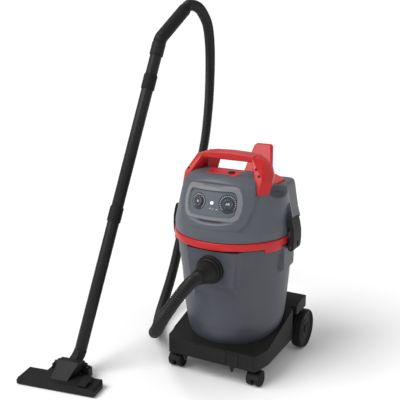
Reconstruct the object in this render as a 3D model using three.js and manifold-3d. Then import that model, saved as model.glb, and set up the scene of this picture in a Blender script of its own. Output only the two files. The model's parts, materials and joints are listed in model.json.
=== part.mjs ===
// Wet and dry shop vacuum: tank on a trolley, lift-off motor head, hose, wand and floor nozzle.
// Lengths in millimetres, +Z up. The tank axis is the modelling centre and the front faces -Y;
// the last lines move the whole part so that its box, hose left out, stands centred on the origin.
import * as THREE from "three";
import { mergeVertices } from "three/addons/utils/BufferGeometryUtils.js";
import { ConvexGeometry } from "three/addons/geometries/ConvexGeometry.js";
import Module from "manifold-3d";

const wasm = await Module();
wasm.setup();

// Shared clearances and finish sizes
const FIT = 0.3; // gap between two pieces that touch or slide in each other
const RUN = 1.5; // free gap round a wheel or a rotor
const WELD = 1e-3; // distance under which two corners are one
const HALF_TURN = 180; // degrees
const OVERCUT = 10; // how far a cutter runs past the face it opens

// Tank: an open drum whose axis leans back a little towards its foot
const TANK_FOOT_Z = 96;
const TANK_WALL = 4;
const TANK_RIM_Z = 464;
const TANK_RIM_RADIUS = 194.5;
const TANK_RIM_WIDTH = 9;
const TANK_COLLAR_Z = 370;
const TANK_COLLAR_STEP = 5;
const TANK_COLLAR_DRAFT = 1.5;
const TANK_RIM_SHIFT = 6.5;
const TANK_FOOT_SHIFT = 18;
const TANK_LEAN_Z = 340;
// Heights of the outer face below the collar, and its radius there as shares of the rim's
const TANK_HEIGHTS = [96, 101, 113, 133, 163, 200, 310, 368];
const TANK_RADIUS_SHARES = [0.6067, 0.7095, 0.7815, 0.8278, 0.8586, 0.8895, 0.9378, 0.9614];
const TANK_RADII = TANK_HEIGHTS.map((z, i) => [TANK_RADIUS_SHARES[i] * TANK_RIM_RADIUS, z]);
const TANK_SIDES = 32;

// Flat pads on the tank: one at the front for the inlet, one on each side for a latch
const INLET_PAD_INSET = 6.5;
const INLET_PAD_TOP_HALF = 90;
const INLET_PAD_FOOT_HALF = 78;
const INLET_PAD_FOOT_Z = 357;
const LATCH_PAD_PROUD = 2.5;
const LATCH_PAD_HALF = 46;
const PAD_DEPTH = 60;
const PAD_TOP_GAP = 4;
const PAD_SLOPE = 10;

// Hose inlet and its cuff
const INLET_X = 6;
const INLET_Z = 400;
const INLET_FLANGE_RADIUS = 47;
const INLET_FLANGE_DEPTH = 12;
const INLET_TUBE_RADIUS = 29;
const INLET_BORE_RADIUS = 25;
const INLET_TUBE_DEPTH = 26;
const CUFF_SPIGOT_DEPTH = 24;
const CUFF_SPIGOT_WALL = 3;
const CUFF_REACH = 87.7;
const CUFF_PROFILE = [
  // [distance from the flange, radius] of the outside
  [0, 41],
  [9, 41],
  [11, 37.5],
  [26, 36.5],
  [34, 34],
  [50, 28],
  [64, 24.5],
];
const CUFF_END_RADIUS = 23.6;

// Suction hose
const HOSE_RADIUS = 20.4;
const HOSE_BORE_RADIUS = 16;
const HOSE_RINGS = 130;
const HOSE_SIDES = 12;
const HOSE_ROUTE = [
  // middle line from the cuff to the hand grip, in the tank's frame
  [2, -366, 384],
  [-38, -403, 315],
  [-86, -371, 246],
  [-133, -307, 200],
  [-177, -236, 161],
  [-220, -165, 121],
  [-262, -93, 82],
  [-305, -21, 44],
  [-349, 60, 20.2],
  [-387, 140, 28],
  [-414, 222, 58],
  [-432, 299, 106],
  [-447, 368, 165],
  [-459, 428, 234],
  [-464, 482, 307],
  [-462, 530, 386],
  [-457, 571, 468],
  [-449, 603, 554],
  [-441, 626, 642],
  [-434, 636, 733],
  [-425, 634, 825],
  [-413, 618, 914],
  [-396, 587, 999],
  [-375, 540, 1075],
  [-352, 477, 1138],
  [-334, 407, 1179],
  [-320, 342, 1204],
  [-315, 290, 1213],
];
const HOSE_FAR_RUN = 18; // straight out of the grip
const HOSE_LEAST_GAP = 0.4;

// Head: red band, dome, square back block
const BAND_PROUD = 7; // over the tank's rim
const BAND_WIDTH = 23.5;
const BAND_Z = 469;
const BAND_TOP_Z = 492;
const BAND_LUG_DEPTH = 12;
const BAND_LUG_START = 144; // degrees round from +X to the -Y side
const BAND_LUG_END = 166;
const BAND_LUG_WALL = 5;
const SEAL_WIDTH = 7;
const SHELL_WALL = 4;
const SHELL_FOOT_Z = 494.5;
// Heights of the dome's outer face, and its radius there as shares of the band's
const DOME_HEIGHTS = [494.5, 512, 529, 569, 600, 629, 648, 672, 689, 696, 698];
const DOME_RADIUS_SHARES = [
  0.9826, 0.9876, 0.9801, 0.938, 0.9057, 0.8734, 0.8486, 0.804, 0.7395, 0.6551, 0.5558,
];
const DOME_SIDES = 40;
// Heights of the back block, and its half width and back Y there as shares of the band's radius
const BLOCK_HEIGHTS = [494.5, 530, 602, 618, 630];
const BLOCK_HALF_SHARES = [0.7742, 0.7345, 0.6898, 0.6799, 0.5906];
const BLOCK_BACK_SHARES = [1.1911, 1.1663, 1.1266, 1.1117, 1.0323];
const BLOCK_FRONT_Y = 40;
const BLOCK_CORNER = 26;
const BLOCK_TOP_Z = 630;
const BLOCK_STEP_Y = 70;
const SKIRT_Z = 424;
const SKIRT_GAP = 14.5; // behind the band
const SKIRT_HALF = 155;
const SKIRT_THICKNESS = 26;
const TOP_Z = 698;
const TOP_BEND_Y = -32;
const SLOPE_END_Z = 638;
const POCKET_DEPTH = 7;
const SHOULDER_X = 106;
const SHOULDER_FRONT_Y = -50;
const SCOOP_CENTRE = [151, -2, 650];
const SCOOP_RADII = [44, 72, 38];

// Red pieces on the head
const PLATE_FRONT_Y = -112;
const PLATE_FRONT_HALF = 48;
const PLATE_BACK_HALF = 64;
const TONGUE_X = 50;
const TONGUE_HALF = 10;
const TONGUE_FRONT_Y = -120;
const TONGUE_BACK_Y = -90;
const KEY_RADIUS = 11;
const KEY_X = 28;
const KEY_Y = -84;
const KEY_PROUD = 3;
const KEY_TRAVEL = 3;
const BACK_PLATE_THICKNESS = 8;
const BACK_PLATE_HALF = 117;
const BACK_PLATE_END_Y = 206;
const POST_TOP_Z = 735;
const POST_TOP_HALF = 34;
const POST_TOP_CORNER = 7;
const POST_TOP_Y = 232;
const POST_FOOT_HALF = 53;
const POST_FOOT_Y = 184;
const POST_THICKNESS = 18;
const HANDLE_LEG = [
  // right leg from its tip on the dome to the bar [x, y, z]
  [134, -116, 639],
  [157, -75, 642],
  [120, -70, 642],
  [121, -104, 677],
  [137, -94, 690],
  [155, -70, 666],
  [98, -73, 702],
  [154, -40, 690],
  [140, 5, 665],
  [138, 10, 688],
  [86, 10, 700],
  [86, -60, 733],
  [88, -62, 747],
  [116, -46, 742],
  [136, -30, 719],
  [134, 0, 719],
  [112, 0, 738],
  [88, 0, 751],
];
const FIN_OUTLINE = [
  // [y, z] of the fin that runs back and down from each end of the bar
  [-30, 680],
  [42, 677],
  [63, 708],
  [12, 736],
  [-12, 745],
  [-30, 745],
];
const FIN_INNER_X = 84;
const FIN_OUTER_X = 98;
const BAR_HALF_SECTIONS = [
  // [x, lift of the bar's top there]
  [90, -7],
  [60, -2],
];
const BAR_FRONT_Y = -62;
const BAR_BACK_Y = 0;
const BAR_TOP_Z = 757;
const BAR_FOOT_Z = 733;
const BAR_CHAMFER = 6;

// Control panel
const PANEL_OUTLINE = [
  // [x, z] of the right half from top to foot
  [62, 657],
  [73, 653],
  [80, 643],
  [84, 622],
  [84, 600],
  [80, 582],
  [68, 574],
];
const BEZEL_OUTLINE = [
  [76, 670],
  [87, 665],
  [96, 648],
  [101, 622],
  [100, 596],
  [93, 574],
  [76, 562],
];
const PANEL_PROUD = 1;
const PANEL_DEPTH = 3;
const BEZEL_PROUD = 4;
const DIAL_Z = 618;
const DIAL_LEFT_X = -43;
const DIAL_RIGHT_X = 57;
const LAMP_X = 7;
const DIAL_RADIUS = 17;
const DIAL_HEIGHT = 5;
const DIAL_STEM_RADIUS = 4;
const DIAL_STEM = 10;
const LAMP_RADIUS = 6;
const LAMP_HEIGHT = 3;

// Suction unit, filter and float
const MOTOR_PLATE_Z = 492.5;
const MOTOR_PLATE_THICKNESS = 6;
const SUCTION_RADIUS = 40;
const MOTOR_RADIUS = 62;
const FAN_CHAMBER_RADIUS = 84;
const FAN_CHAMBER_HEIGHT = 34;
const MOTOR_HEIGHT = 118;
const MOTOR_WALL = 4;
const SHAFT_RADIUS = 5;
const FAN_RADIUS = 70;
const FAN_THICKNESS = 4;
const FAN_HUB_RADIUS = 14;
const FAN_BLADES = 6;
const FAN_BLADE_HEIGHT = 12;
const FOAM_THICKNESS = 16;
const CAGE_RADIUS = 62;
const CAGE_WALL = 3;
const CAGE_FOOT_Z = 372;
const CAGE_SLOTS = 6;
const CAGE_SLOT_HALF = 18;
const FILTER_INNER = 66;
const FILTER_OUTER = 96;
const FILTER_FOLDS = 18;
const FILTER_FOLD_WALL = 3;
const FILTER_FOOT_Z = 368;
const FILTER_CAP = 5;
const FLOAT_RADIUS = 34;
const FLOAT_HEIGHT = 40;
const GLAND_RADIUS = 11;
const GLAND_LENGTH = 16;
const GLAND_Z = 560;
const GLAND_X = 70;
const CORD_BORE = 4.5;

// Latches
const LATCH_Y = 10;
const LATCH_WIDTH = 66;
const LATCH_PIN_RADIUS = 3.5;
const LATCH_PIN_OUT = 16; // from the latch pad
const LATCH_PIN_Z = 455;
const BRACKET_HALF = 10;
const LATCH_OUTLINE = [
  // [distance out from the pin, height over the pin] round the latch seen along its pin
  [-11, 3],
  [-8, -8],
  [0, -12],
  [8, -10],
  [11, 0],
  [12, 25],
  [11, 52],
  [6, 78],
  [1, 95],
  [-6, 94],
  [-12, 86],
  [-14, 70],
  [-10.5, 65],
  [-4, 71],
  [-1, 60],
  [-1, 36],
  [-4, 22],
];
// Beside each latch the head stays inside this gap from the latch pad, so that it lifts past
const LATCH_WAY_GAP = 1.4;
const LATCH_WAY_Z = 560;

// Trolley
const TROLLEY_HALF = 180;
const TROLLEY_FRONT_Y = -175;
const TROLLEY_BACK_Y = 221;
const TROLLEY_CORNER = [
  // [in from the side, back from the front] along each front corner
  [22, 0],
  [11, 18],
  [0, 75],
];
const TROLLEY_WAIST_STEP = 25;
const TROLLEY_FOOT_Z = 66;
const TROLLEY_RAIL_Z = 121;
const TROLLEY_FENDER_Z = 197;
const TROLLEY_RISE_START_Y = -112;
const TROLLEY_RISE_END_Y = 170;
const TROLLEY_WAIST_INSET = 26;
const TROLLEY_WAIST_Y = 112;
const FENDER_PROUD = 8; // out from the trolley's side
const FENDER_FRONT_Y = 128;
const FENDER_FOOT_Z = 155;
const TROLLEY_NEST_GAP = 0.8;
const TROLLEY_UNDER_WALL = 7;
const TROLLEY_UNDER_RADIUS = 104;
const COVER_LEFT_X = -59;
const COVER_RIGHT_X = 59;
const COVER_DEPTH = 4;
const COVER_MARGIN = 4;
const PEG_XS = [-100, 75];
const PEG_RADIUS = 8;
const PEG_TIP_RADIUS = 3;
const PEG_DROP = 24;
const PEG_Y = -164;

// Rear wheels
const WHEEL_RADIUS = 70.7;
const WHEEL_WIDTH = 38;
const WHEEL_FACE_GAP = 12; // out from the fender
const AXLE_Y = 211;
const AXLE_RADIUS = 6;
const TYRE_DEPTH = 9;
const TYRE_CROWN = 4;
const HUB_DISH = 6;
const HUB_DISH_SHARES = [0.28, 0.42, 0.62, 0.86];
const CAP_RADIUS = 15;
const CAP_THICKNESS = 5;
const AXLE_LUG_RADIUS = 17;

// Casters
const CASTER_INSET = 33; // in from the trolley's side
const CASTER_Y = -135;
const CASTER_RADIUS = 25;
const CASTER_TRAIL = 16;
const CASTER_WHEEL_WIDTH = 20;
const CASTER_GAP = 10;
const CASTER_AXLE_RADIUS = 4;
const CASTER_STEM_RADIUS = 5.5;
const CASTER_STEM_LENGTH = 26;
const CASTER_PLATE_RADIUS = 15;
const CASTER_PLATE = 3;
const CASTER_HOOD_WALL = 3;

// Wand, measured along its own axis from the lower end of the lower tube
const WAND_FOOT = [-414.6, -333.5, 82.3];
const WAND_LEAN = 23.2; // degrees from upright
const WAND_HEADING = 80.2; // degrees round from +X towards +Y
const TUBE_RADIUS = 20.8;
const TUBE_WALL = 1.8;
const TUBE_LENGTH = 497;
const TUBE_OVERLAP = 22;
const TUBE_SPIGOT_RADIUS = 17.3;
const TUBE_SIDES = 12;
const SLEEVE_RADIUS = 24.4;
const SLEEVE_LENGTH = 54;
const SLEEVE_RIBS = 3;
const SLEEVE_RIB_DEPTH = 1.2;
const HAND_STRAIGHT = 144;
const HAND_BEND = 31.4; // degrees
const HAND_BEND_RADIUS = 50;
const HAND_UPPER = 145;
const AIR_RING_START = 97;
const AIR_RING_LENGTH = 46;
const AIR_RING_RADIUS = 24.2;
const AIR_SLOT_HALF = 9;
const AIR_SLOT_LENGTH = 12;
const GRIP_LENGTH = 186;
const GRIP_RADIUS = 23.2;
const GRIP_RIBS = 8;
const GRIP_RIB_DEPTH = 1.2;
const BEND_STEPS = 3;

// Floor nozzle, in its own frame: x along its length, y backwards, z up
const NOZZLE_CENTRE = [-418.3, -442.9];
const NOZZLE_TURN = 9.1; // degrees
const NOZZLE_LENGTH = 284;
const NOZZLE_DEPTH = 82;
const NOZZLE_HEIGHT = 25;
const NOZZLE_FRONT_HEIGHT = 22;
const NOZZLE_LIFT = 4;
const NOZZLE_WALL = 3;
const NOZZLE_TAPER = 16;
const NOZZLE_HOLLOW_SHARE = 0.86; // depth of the hollow's foot
const SOLE_THICKNESS = 4;
const SOLE_SLOT_HALF = 118;
const SOLE_SLOT_DEPTH = 12;
const BRUSH_HALF = 128;
const BRUSH_WIDTH = 3;
const BRUSH_INSET = 11;
const HOUSING_FOOT_HALF = 29;
const HOUSING_TOP_HALF = 38;
const HOUSING_TOP_X = 14;
const HOUSING_FRONT_Y = -20;
const HOUSING_TOP_Z = 74;
const HOUSING_TOP_FRONT_Y = 32;
const HOUSING_TOP_BACK_Y = 62;
const HOUSING_FOOT_BACK_Y = 40;
const NECK_PIVOT = [5, 72, 40];
const NECK_DRUM = [
  // [half length, radius] of the stepped hinge drum; the last step is its journals
  [40, 22],
  [52, 16],
  [64, 9],
];
const NECK_RADIUS = 22;
const NECK_BORE_RADIUS = 14;
const NECK_REACH = 40;
const NECK_SPIGOT = 22;
const NECK_STEPS = 4;
const NECK_AIR_TURN = 62; // degrees
const NECK_SWING = 7; // degrees between the cut-outs for the tilting neck
const CRADLE_HALF = 71;
const CRADLE_WALL = 5;
const CRADLE_BACK_Y = 40;
const JOURNAL_EAR_HALF = 13;
const PEDAL_HALF = 15;
const PEDAL_FRONT = 30;
const PEDAL_BACK = 26;
const PEDAL_THICKNESS = 4;
const PEDAL_X = 95;
const PEDAL_Y = -4;
const PEDAL_Z = 36;
const PEDAL_PIN_RADIUS = 2.5;
const PEDAL_EAR = 4;

// Colours: [colour, roughness, metalness]
const LOOKS = {
  grey: [0x53565f, 0.5, 0],
  red: [0xc9353a, 0.45, 0],
  black: [0x262626, 0.55, 0],
  rubber: [0x1c1c1c, 0.8, 0],
  panel: [0x66727a, 0.5, 0],
  lamp: [0xf2f2ee, 0.3, 0],
  steel: [0xb4b6b8, 0.3, 1],
  paper: [0xe4dfd0, 0.9, 0],
  foam: [0x4a4a4c, 0.95, 0],
  natural: [0xd9d9d3, 0.6, 0],
};

// Faces and centres that follow the sizes above
const bandRadius = TANK_RIM_RADIUS + BAND_PROUD;
const bandBore = bandRadius - BAND_WIDTH;
const inletPadY = INLET_PAD_INSET - TANK_RIM_RADIUS;
const latchPadX = TANK_RIM_RADIUS + LATCH_PAD_PROUD;
const latchPinX = latchPadX + LATCH_PIN_OUT;
const latchWayX = latchPadX + LATCH_WAY_GAP;
const skirtFrontY = bandRadius + SKIRT_GAP;
const skirtBackY = skirtFrontY + SKIRT_THICKNESS;
const domeOutline = DOME_HEIGHTS.map((z, i) => [DOME_RADIUS_SHARES[i] * bandRadius, z]);
const blockSections = BLOCK_HEIGHTS.map((z, i) => {
  return [z, BLOCK_HALF_SHARES[i] * bandRadius, BLOCK_BACK_SHARES[i] * bandRadius];
});
const motorPlateRadius = domeOutline[0][0] - SHELL_WALL; // it fills the shell's foot, which is screwed to it
const fenderHalf = TROLLEY_HALF + FENDER_PROUD;
const trolleyWaistHalf = TROLLEY_HALF - TROLLEY_WAIST_INSET;
const wheelFaceX = fenderHalf + WHEEL_FACE_GAP;
const casterX = TROLLEY_HALF - CASTER_INSET;
const handStart = (TUBE_LENGTH - TUBE_OVERLAP + FIT) * 2 + FIT;

// From the tank's frame to the part's: the middle of the box round the vacuum, hose left out
const BOX_MIDDLE = [-168.75, -112.05];

const degrees = THREE.MathUtils.degToRad;
const part = new THREE.Group();
const frame = new THREE.Group();
part.add(frame);

// A closed geometry as a solid; a face order that points inwards is turned round.
function solid(geometry) {
  const bare = geometry.clone();
  bare.deleteAttribute("normal");
  bare.deleteAttribute("uv");
  const merged = mergeVertices(bare, WELD);
  const corners = new Uint32Array(merged.index.array);
  const build = () =>
    new wasm.Manifold(
      new wasm.Mesh({
        numProp: 3,
        vertProperties: merged.attributes.position.array,
        triVerts: corners,
      }),
    );
  const made = build();
  if (made.volume() > 0) return made;
  for (let i = 0; i < corners.length; i += 3) {
    [corners[i + 1], corners[i + 2]] = [corners[i + 2], corners[i + 1]];
  }
  return build();
}

function placed(shape, matrix) {
  return solid(geometryOf(shape).applyMatrix4(matrix));
}

function geometryOf(shape) {
  const mesh = shape.getMesh();
  return new THREE.BufferGeometry()
    .setAttribute("position", new THREE.BufferAttribute(new Float32Array(mesh.vertProperties), 3))
    .setIndex(new THREE.BufferAttribute(new Uint32Array(mesh.triVerts), 1));
}

function add(name, shape, look) {
  const [color, roughness, metalness] = LOOKS[look];
  const geometry = geometryOf(shape);
  geometry.computeVertexNormals();
  const mesh = new THREE.Mesh(
    geometry,
    new THREE.MeshStandardMaterial({ color, roughness, metalness }),
  );
  mesh.name = name;
  frame.add(mesh);
  return mesh;
}

// Basic shapes
function lathe(profile, sides) {
  const points = profile.map(([r, z]) => new THREE.Vector2(r, z));
  return new THREE.LatheGeometry(points, sides).rotateX(degrees(90));
}

function ringShape(outer, inner, z0, z1, sides) {
  const profile = [
    [inner, z0],
    [outer, z0],
    [outer, z1],
    [inner, z1],
    [inner, z0],
  ];
  return solid(lathe(profile, sides));
}

function disc(radius, z0, z1, sides) {
  const profile = [
    [0, z0],
    [radius, z0],
    [radius, z1],
    [0, z1],
  ];
  return solid(lathe(profile, sides));
}

function block(x0, x1, y0, y1, z0, z1) {
  const box = new THREE.BoxGeometry(x1 - x0, y1 - y0, z1 - z0);
  return solid(box.translate((x0 + x1) / 2, (y0 + y1) / 2, (z0 + z1) / 2));
}

// A flat outline pushed from z0 to z1.
function prism(outline, z0, z1) {
  const shape = new THREE.Shape(outline.map(([x, y]) => new THREE.Vector2(x, y)));
  const made = new THREE.ExtrudeGeometry(shape, { depth: z1 - z0, bevelEnabled: false });
  return solid(made.translate(0, 0, z0));
}

// An outline in [x, z] pushed along Y, and one in [y, z] pushed along X.
function prismY(outline, y0, y1) {
  const turn = new THREE.Matrix4().makeRotationX(degrees(90));
  return placed(prism(outline, -y1, -y0), turn);
}

function prismX(outline, x0, x1) {
  const turn = new THREE.Matrix4().makeBasis(
    new THREE.Vector3(0, 1, 0),
    new THREE.Vector3(0, 0, 1),
    new THREE.Vector3(1, 0, 0),
  );
  return placed(prism(outline, x0, x1), turn);
}

function hull(points) {
  return solid(new ConvexGeometry(points.map((p) => new THREE.Vector3(...p))));
}

function mirrored(points) {
  return points.map(([x, ...rest]) => [-x, ...rest]);
}

function moved(shape, x, y, z) {
  return placed(shape, new THREE.Matrix4().makeTranslation(x, y, z));
}

// A round piece built along +Z and turned so that its axis runs along X.
function alongX(shape) {
  return placed(shape, new THREE.Matrix4().makeRotationY(degrees(90)));
}

function alongY(shape) {
  return placed(shape, new THREE.Matrix4().makeRotationX(degrees(-90)));
}

// Sections of equally many points, joined into one closed surface.
function loft(sections) {
  const count = sections[0].length;
  const points = sections.flat();
  const faces = [];
  for (let s = 0; s + 1 < sections.length; s += 1) {
    for (let i = 0; i < count; i += 1) {
      const j = (i + 1) % count;
      const a = s * count + i;
      const b = s * count + j;
      faces.push(a, b, a + count, b, b + count, a + count);
    }
  }
  const last = (sections.length - 1) * count;
  for (let i = 1; i + 1 < count; i += 1) {
    faces.push(0, i + 1, i);
    faces.push(last, last + i, last + i + 1);
  }
  return indexed(points, faces);
}

function indexed(points, faces) {
  return new THREE.BufferGeometry()
    .setAttribute("position", new THREE.Float32BufferAttribute(points.flat(), 3))
    .setIndex(faces);
}

// A pipe: rings of the outside and of the bore along a path, closed at both ends.
function pipe(outside, bore) {
  const count = outside[0].length;
  const points = [...outside.flat(), ...bore.flat()];
  const faces = [];
  const wall = (first, rings, flip) => {
    for (let s = 0; s + 1 < rings; s += 1) {
      for (let i = 0; i < count; i += 1) {
        const j = (i + 1) % count;
        const a = first + s * count + i;
        const b = first + s * count + j;
        if (flip) faces.push(a, a + count, b, b, a + count, b + count);
        else faces.push(a, b, a + count, b, b + count, a + count);
      }
    }
  };
  const start = outside.length * count;
  wall(0, outside.length, false);
  wall(start, bore.length, true);
  const endOut = start - count;
  const endIn = start + (bore.length - 1) * count;
  for (let i = 0; i < count; i += 1) {
    const j = (i + 1) % count;
    faces.push(i, start + i, j, j, start + i, start + j);
    faces.push(endOut + i, endOut + j, endIn + i, endOut + j, endIn + j, endIn + i);
  }
  return solid(indexed(points, faces));
}

// A solid rod through rings of equal count, closed at both ends on its two middle points.
function rod(rings, first, last) {
  const count = rings[0].length;
  const points = [...rings.flat(), first, last];
  const faces = [];
  for (let s = 0; s + 1 < rings.length; s += 1) {
    for (let i = 0; i < count; i += 1) {
      const a = s * count + i;
      const b = s * count + ((i + 1) % count);
      faces.push(a, b, a + count, b, b + count, a + count);
    }
  }
  const end = (rings.length - 1) * count;
  for (let i = 0; i < count; i += 1) {
    const j = (i + 1) % count;
    faces.push(points.length - 2, j, i);
    faces.push(points.length - 1, end + i, end + j);
  }
  return solid(indexed(points, faces));
}

// Rings square to a path. Each station is {at, along, side}; side keeps the rings from turning.
function ringAt(station, radius, sides) {
  const up = new THREE.Vector3().crossVectors(station.along, station.side);
  const ring = [];
  for (let i = 0; i < sides; i += 1) {
    const angle = (2 * Math.PI * i) / sides;
    const point = station.at
      .clone()
      .addScaledVector(station.side, radius * Math.cos(angle))
      .addScaledVector(up, radius * Math.sin(angle));
    ring.push(point.toArray());
  }
  return ring;
}

// A straight or ribbed round pipe on +Z from z0 to z1.
function straightPipe(radius, boreRadius, z0, z1, sides, ribs = 0, ribDepth = 0) {
  const profile = [];
  const pitch = (z1 - z0) / Math.max(ribs, 1);
  for (let i = 0; i < ribs; i += 1) {
    const base = z0 + i * pitch;
    profile.push([radius - ribDepth, base]);
    profile.push([radius, base + pitch / 4]);
    profile.push([radius, base + (pitch * 3) / 4]);
  }
  if (!ribs) profile.push([radius, z0]);
  profile.push([ribs ? radius - ribDepth : radius, z1]);
  profile.push([boreRadius, z1], [boreRadius, z0], [...profile[0]]);
  return solid(lathe(profile, sides));
}

// Tank
function tankShift(z) {
  const share = (z - TANK_LEAN_Z) / (TANK_RIM_Z - TANK_LEAN_Z);
  return THREE.MathUtils.lerp(TANK_FOOT_SHIFT, TANK_RIM_SHIFT, THREE.MathUtils.clamp(share, 0, 1));
}

function leant(geometry) {
  const at = geometry.attributes.position;
  for (let i = 0; i < at.count; i += 1) {
    at.setY(i, at.getY(i) + tankShift(at.getZ(i)));
  }
  return geometry;
}

const tankCollarRadius = TANK_RIM_RADIUS - TANK_COLLAR_DRAFT;

function tankOuter(grow) {
  const below = TANK_RADII.map(([r, z]) => [r + grow, z - (z === TANK_FOOT_Z ? grow : 0)]);
  return [
    [0, TANK_FOOT_Z - grow],
    ...below,
    [tankCollarRadius + grow, TANK_COLLAR_Z + TANK_COLLAR_STEP],
    [TANK_RIM_RADIUS + grow, TANK_RIM_Z],
    [0, TANK_RIM_Z],
  ];
}

function tankInner() {
  return [
    [0, TANK_FOOT_Z + TANK_WALL],
    ...TANK_RADII.map(([r, z]) => [r - TANK_WALL, z + (z < TANK_LEAN_Z / 2 ? TANK_WALL : 0)]),
    [tankCollarRadius - TANK_WALL, TANK_COLLAR_Z + TANK_COLLAR_STEP + TANK_WALL],
    [TANK_RIM_RADIUS - TANK_RIM_WIDTH, TANK_RIM_Z],
    [TANK_RIM_RADIUS - TANK_RIM_WIDTH, TANK_RIM_Z + OVERCUT],
    [0, TANK_RIM_Z + OVERCUT],
  ];
}

const tankPadTop = TANK_RIM_Z - PAD_TOP_GAP;
const inletPad = prismY(
  [
    [INLET_X - INLET_PAD_FOOT_HALF, INLET_PAD_FOOT_Z],
    [INLET_X + INLET_PAD_FOOT_HALF, INLET_PAD_FOOT_Z],
    [INLET_X + INLET_PAD_TOP_HALF, tankPadTop],
    [INLET_X - INLET_PAD_TOP_HALF, tankPadTop],
  ],
  inletPadY,
  inletPadY + PAD_DEPTH,
);

function latchPad(side) {
  const outline = [
    [latchPadX - PAD_DEPTH, TANK_COLLAR_Z - PAD_DEPTH / 2],
    [latchPadX - PAD_SLOPE, TANK_COLLAR_Z],
    [latchPadX, TANK_COLLAR_Z + TANK_COLLAR_STEP],
    [latchPadX, tankPadTop],
    [latchPadX - PAD_DEPTH, tankPadTop],
  ];
  const right = prismY(outline, LATCH_Y - LATCH_PAD_HALF, LATCH_Y + LATCH_PAD_HALF);
  return side > 0 ? right : placed(right, new THREE.Matrix4().makeScale(-1, 1, 1));
}

const inletHole = moved(
  alongY(disc(INLET_TUBE_RADIUS + FIT, -PAD_DEPTH, PAD_DEPTH, 24)),
  INLET_X,
  inletPadY,
  INLET_Z,
);
const tank = solid(leant(lathe(tankOuter(0), TANK_SIDES)))
  .add(inletPad)
  .add(latchPad(1))
  .add(latchPad(-1))
  .subtract(solid(leant(lathe(tankInner(), TANK_SIDES))))
  .subtract(inletHole);
add("tank", tank, "grey");

// Inlet socket and hose cuff, both built along -Y from the pad
const flangeY = inletPadY - FIT;
const inletSocket = straightPipe(INLET_FLANGE_RADIUS, INLET_BORE_RADIUS, 0, INLET_FLANGE_DEPTH, 24).add(
  straightPipe(INLET_TUBE_RADIUS, INLET_BORE_RADIUS, -INLET_TUBE_DEPTH, FIT, 24),
);
const towardsFront = new THREE.Matrix4()
  .makeTranslation(INLET_X, flangeY, INLET_Z)
  .multiply(new THREE.Matrix4().makeRotationX(degrees(90)));
add("inlet_socket", placed(inletSocket, towardsFront), "black");

const cuffStart = INLET_FLANGE_DEPTH + FIT;
const spigotRadius = INLET_BORE_RADIUS - FIT;
const cuffBore = Math.min(spigotRadius - CUFF_SPIGOT_WALL, HOSE_BORE_RADIUS);
const cuff = solid(
  lathe(
    [
      [cuffBore, cuffStart - CUFF_SPIGOT_DEPTH],
      [spigotRadius, cuffStart - CUFF_SPIGOT_DEPTH],
      [spigotRadius, cuffStart],
      ...CUFF_PROFILE.map(([z, r]) => [r, cuffStart + z]),
      [CUFF_END_RADIUS, CUFF_REACH],
      [cuffBore, CUFF_REACH],
      [cuffBore, cuffStart - CUFF_SPIGOT_DEPTH],
    ],
    20,
  ),
);
add("hose_cuff", placed(cuff, towardsFront), "black");

// Wand frame: +Z up the wand, +Y to the side the hand pipe bends to
const lean = degrees(WAND_LEAN);
const heading = degrees(WAND_HEADING);
const ahead = new THREE.Vector3(Math.cos(heading), Math.sin(heading), 0);
const wandZ = new THREE.Vector3(0, 0, Math.cos(lean)).addScaledVector(ahead, Math.sin(lean));
const wandY = new THREE.Vector3(0, 0, -Math.sin(lean)).addScaledVector(ahead, Math.cos(lean));
const wandX = new THREE.Vector3().crossVectors(wandY, wandZ);
const wandFrame = new THREE.Matrix4()
  .makeTranslation(...WAND_FOOT)
  .multiply(new THREE.Matrix4().makeBasis(wandX, wandY, wandZ));

// Middle line of the hand pipe: straight, bent, straight, and how the grip follows it
function handStation(distance) {
  const bend = degrees(HAND_BEND);
  const bendLength = HAND_BEND_RADIUS * bend;
  const turned = THREE.MathUtils.clamp((distance - HAND_STRAIGHT) / HAND_BEND_RADIUS, 0, bend);
  const straight = Math.min(distance, HAND_STRAIGHT);
  const beyond = Math.max(distance - HAND_STRAIGHT - bendLength, 0);
  const y = HAND_BEND_RADIUS * (1 - Math.cos(turned)) + beyond * Math.sin(turned);
  const z = straight + HAND_BEND_RADIUS * Math.sin(turned) + beyond * Math.cos(turned);
  return {
    at: new THREE.Vector3(0, y, handStart + z),
    along: new THREE.Vector3(0, Math.sin(turned), Math.cos(turned)),
    side: new THREE.Vector3(1, 0, 0),
  };
}

function handPipe(outer, inner) {
  const rings = (list) => list.map(([at, radius]) => ringAt(handStation(at), radius, TUBE_SIDES));
  return pipe(rings(outer), rings(inner));
}

// Distances along the hand pipe at which its surface needs a ring: both ends and the bend
function stops(from, to) {
  const bends = Array.from({ length: BEND_STEPS + 1 }, (_, i) => {
    return HAND_STRAIGHT + (handBendLength * i) / BEND_STEPS;
  });
  return [from, ...bends.filter((at) => at > from && at < to), to];
}

const handBendLength = HAND_BEND_RADIUS * degrees(HAND_BEND);
const handLength = HAND_STRAIGHT + handBendLength + HAND_UPPER;
const tubeBore = TUBE_RADIUS - TUBE_WALL;
const spigotBore = TUBE_SPIGOT_RADIUS - TUBE_WALL;
const atRadius = (list, radius) => list.map((at) => [at, radius]);
const handStops = stops(0, handLength);
const handTube = handPipe(atRadius(handStops, TUBE_RADIUS), atRadius(handStops, tubeBore));
const airHole = block(
  0,
  TUBE_RADIUS * 2,
  -AIR_SLOT_HALF,
  AIR_SLOT_HALF,
  handStart + AIR_RING_START + AIR_SLOT_LENGTH,
  handStart + AIR_RING_START + AIR_SLOT_LENGTH * 2,
);
add("hand_pipe", placed(handTube.subtract(airHole), wandFrame), "black");

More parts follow.
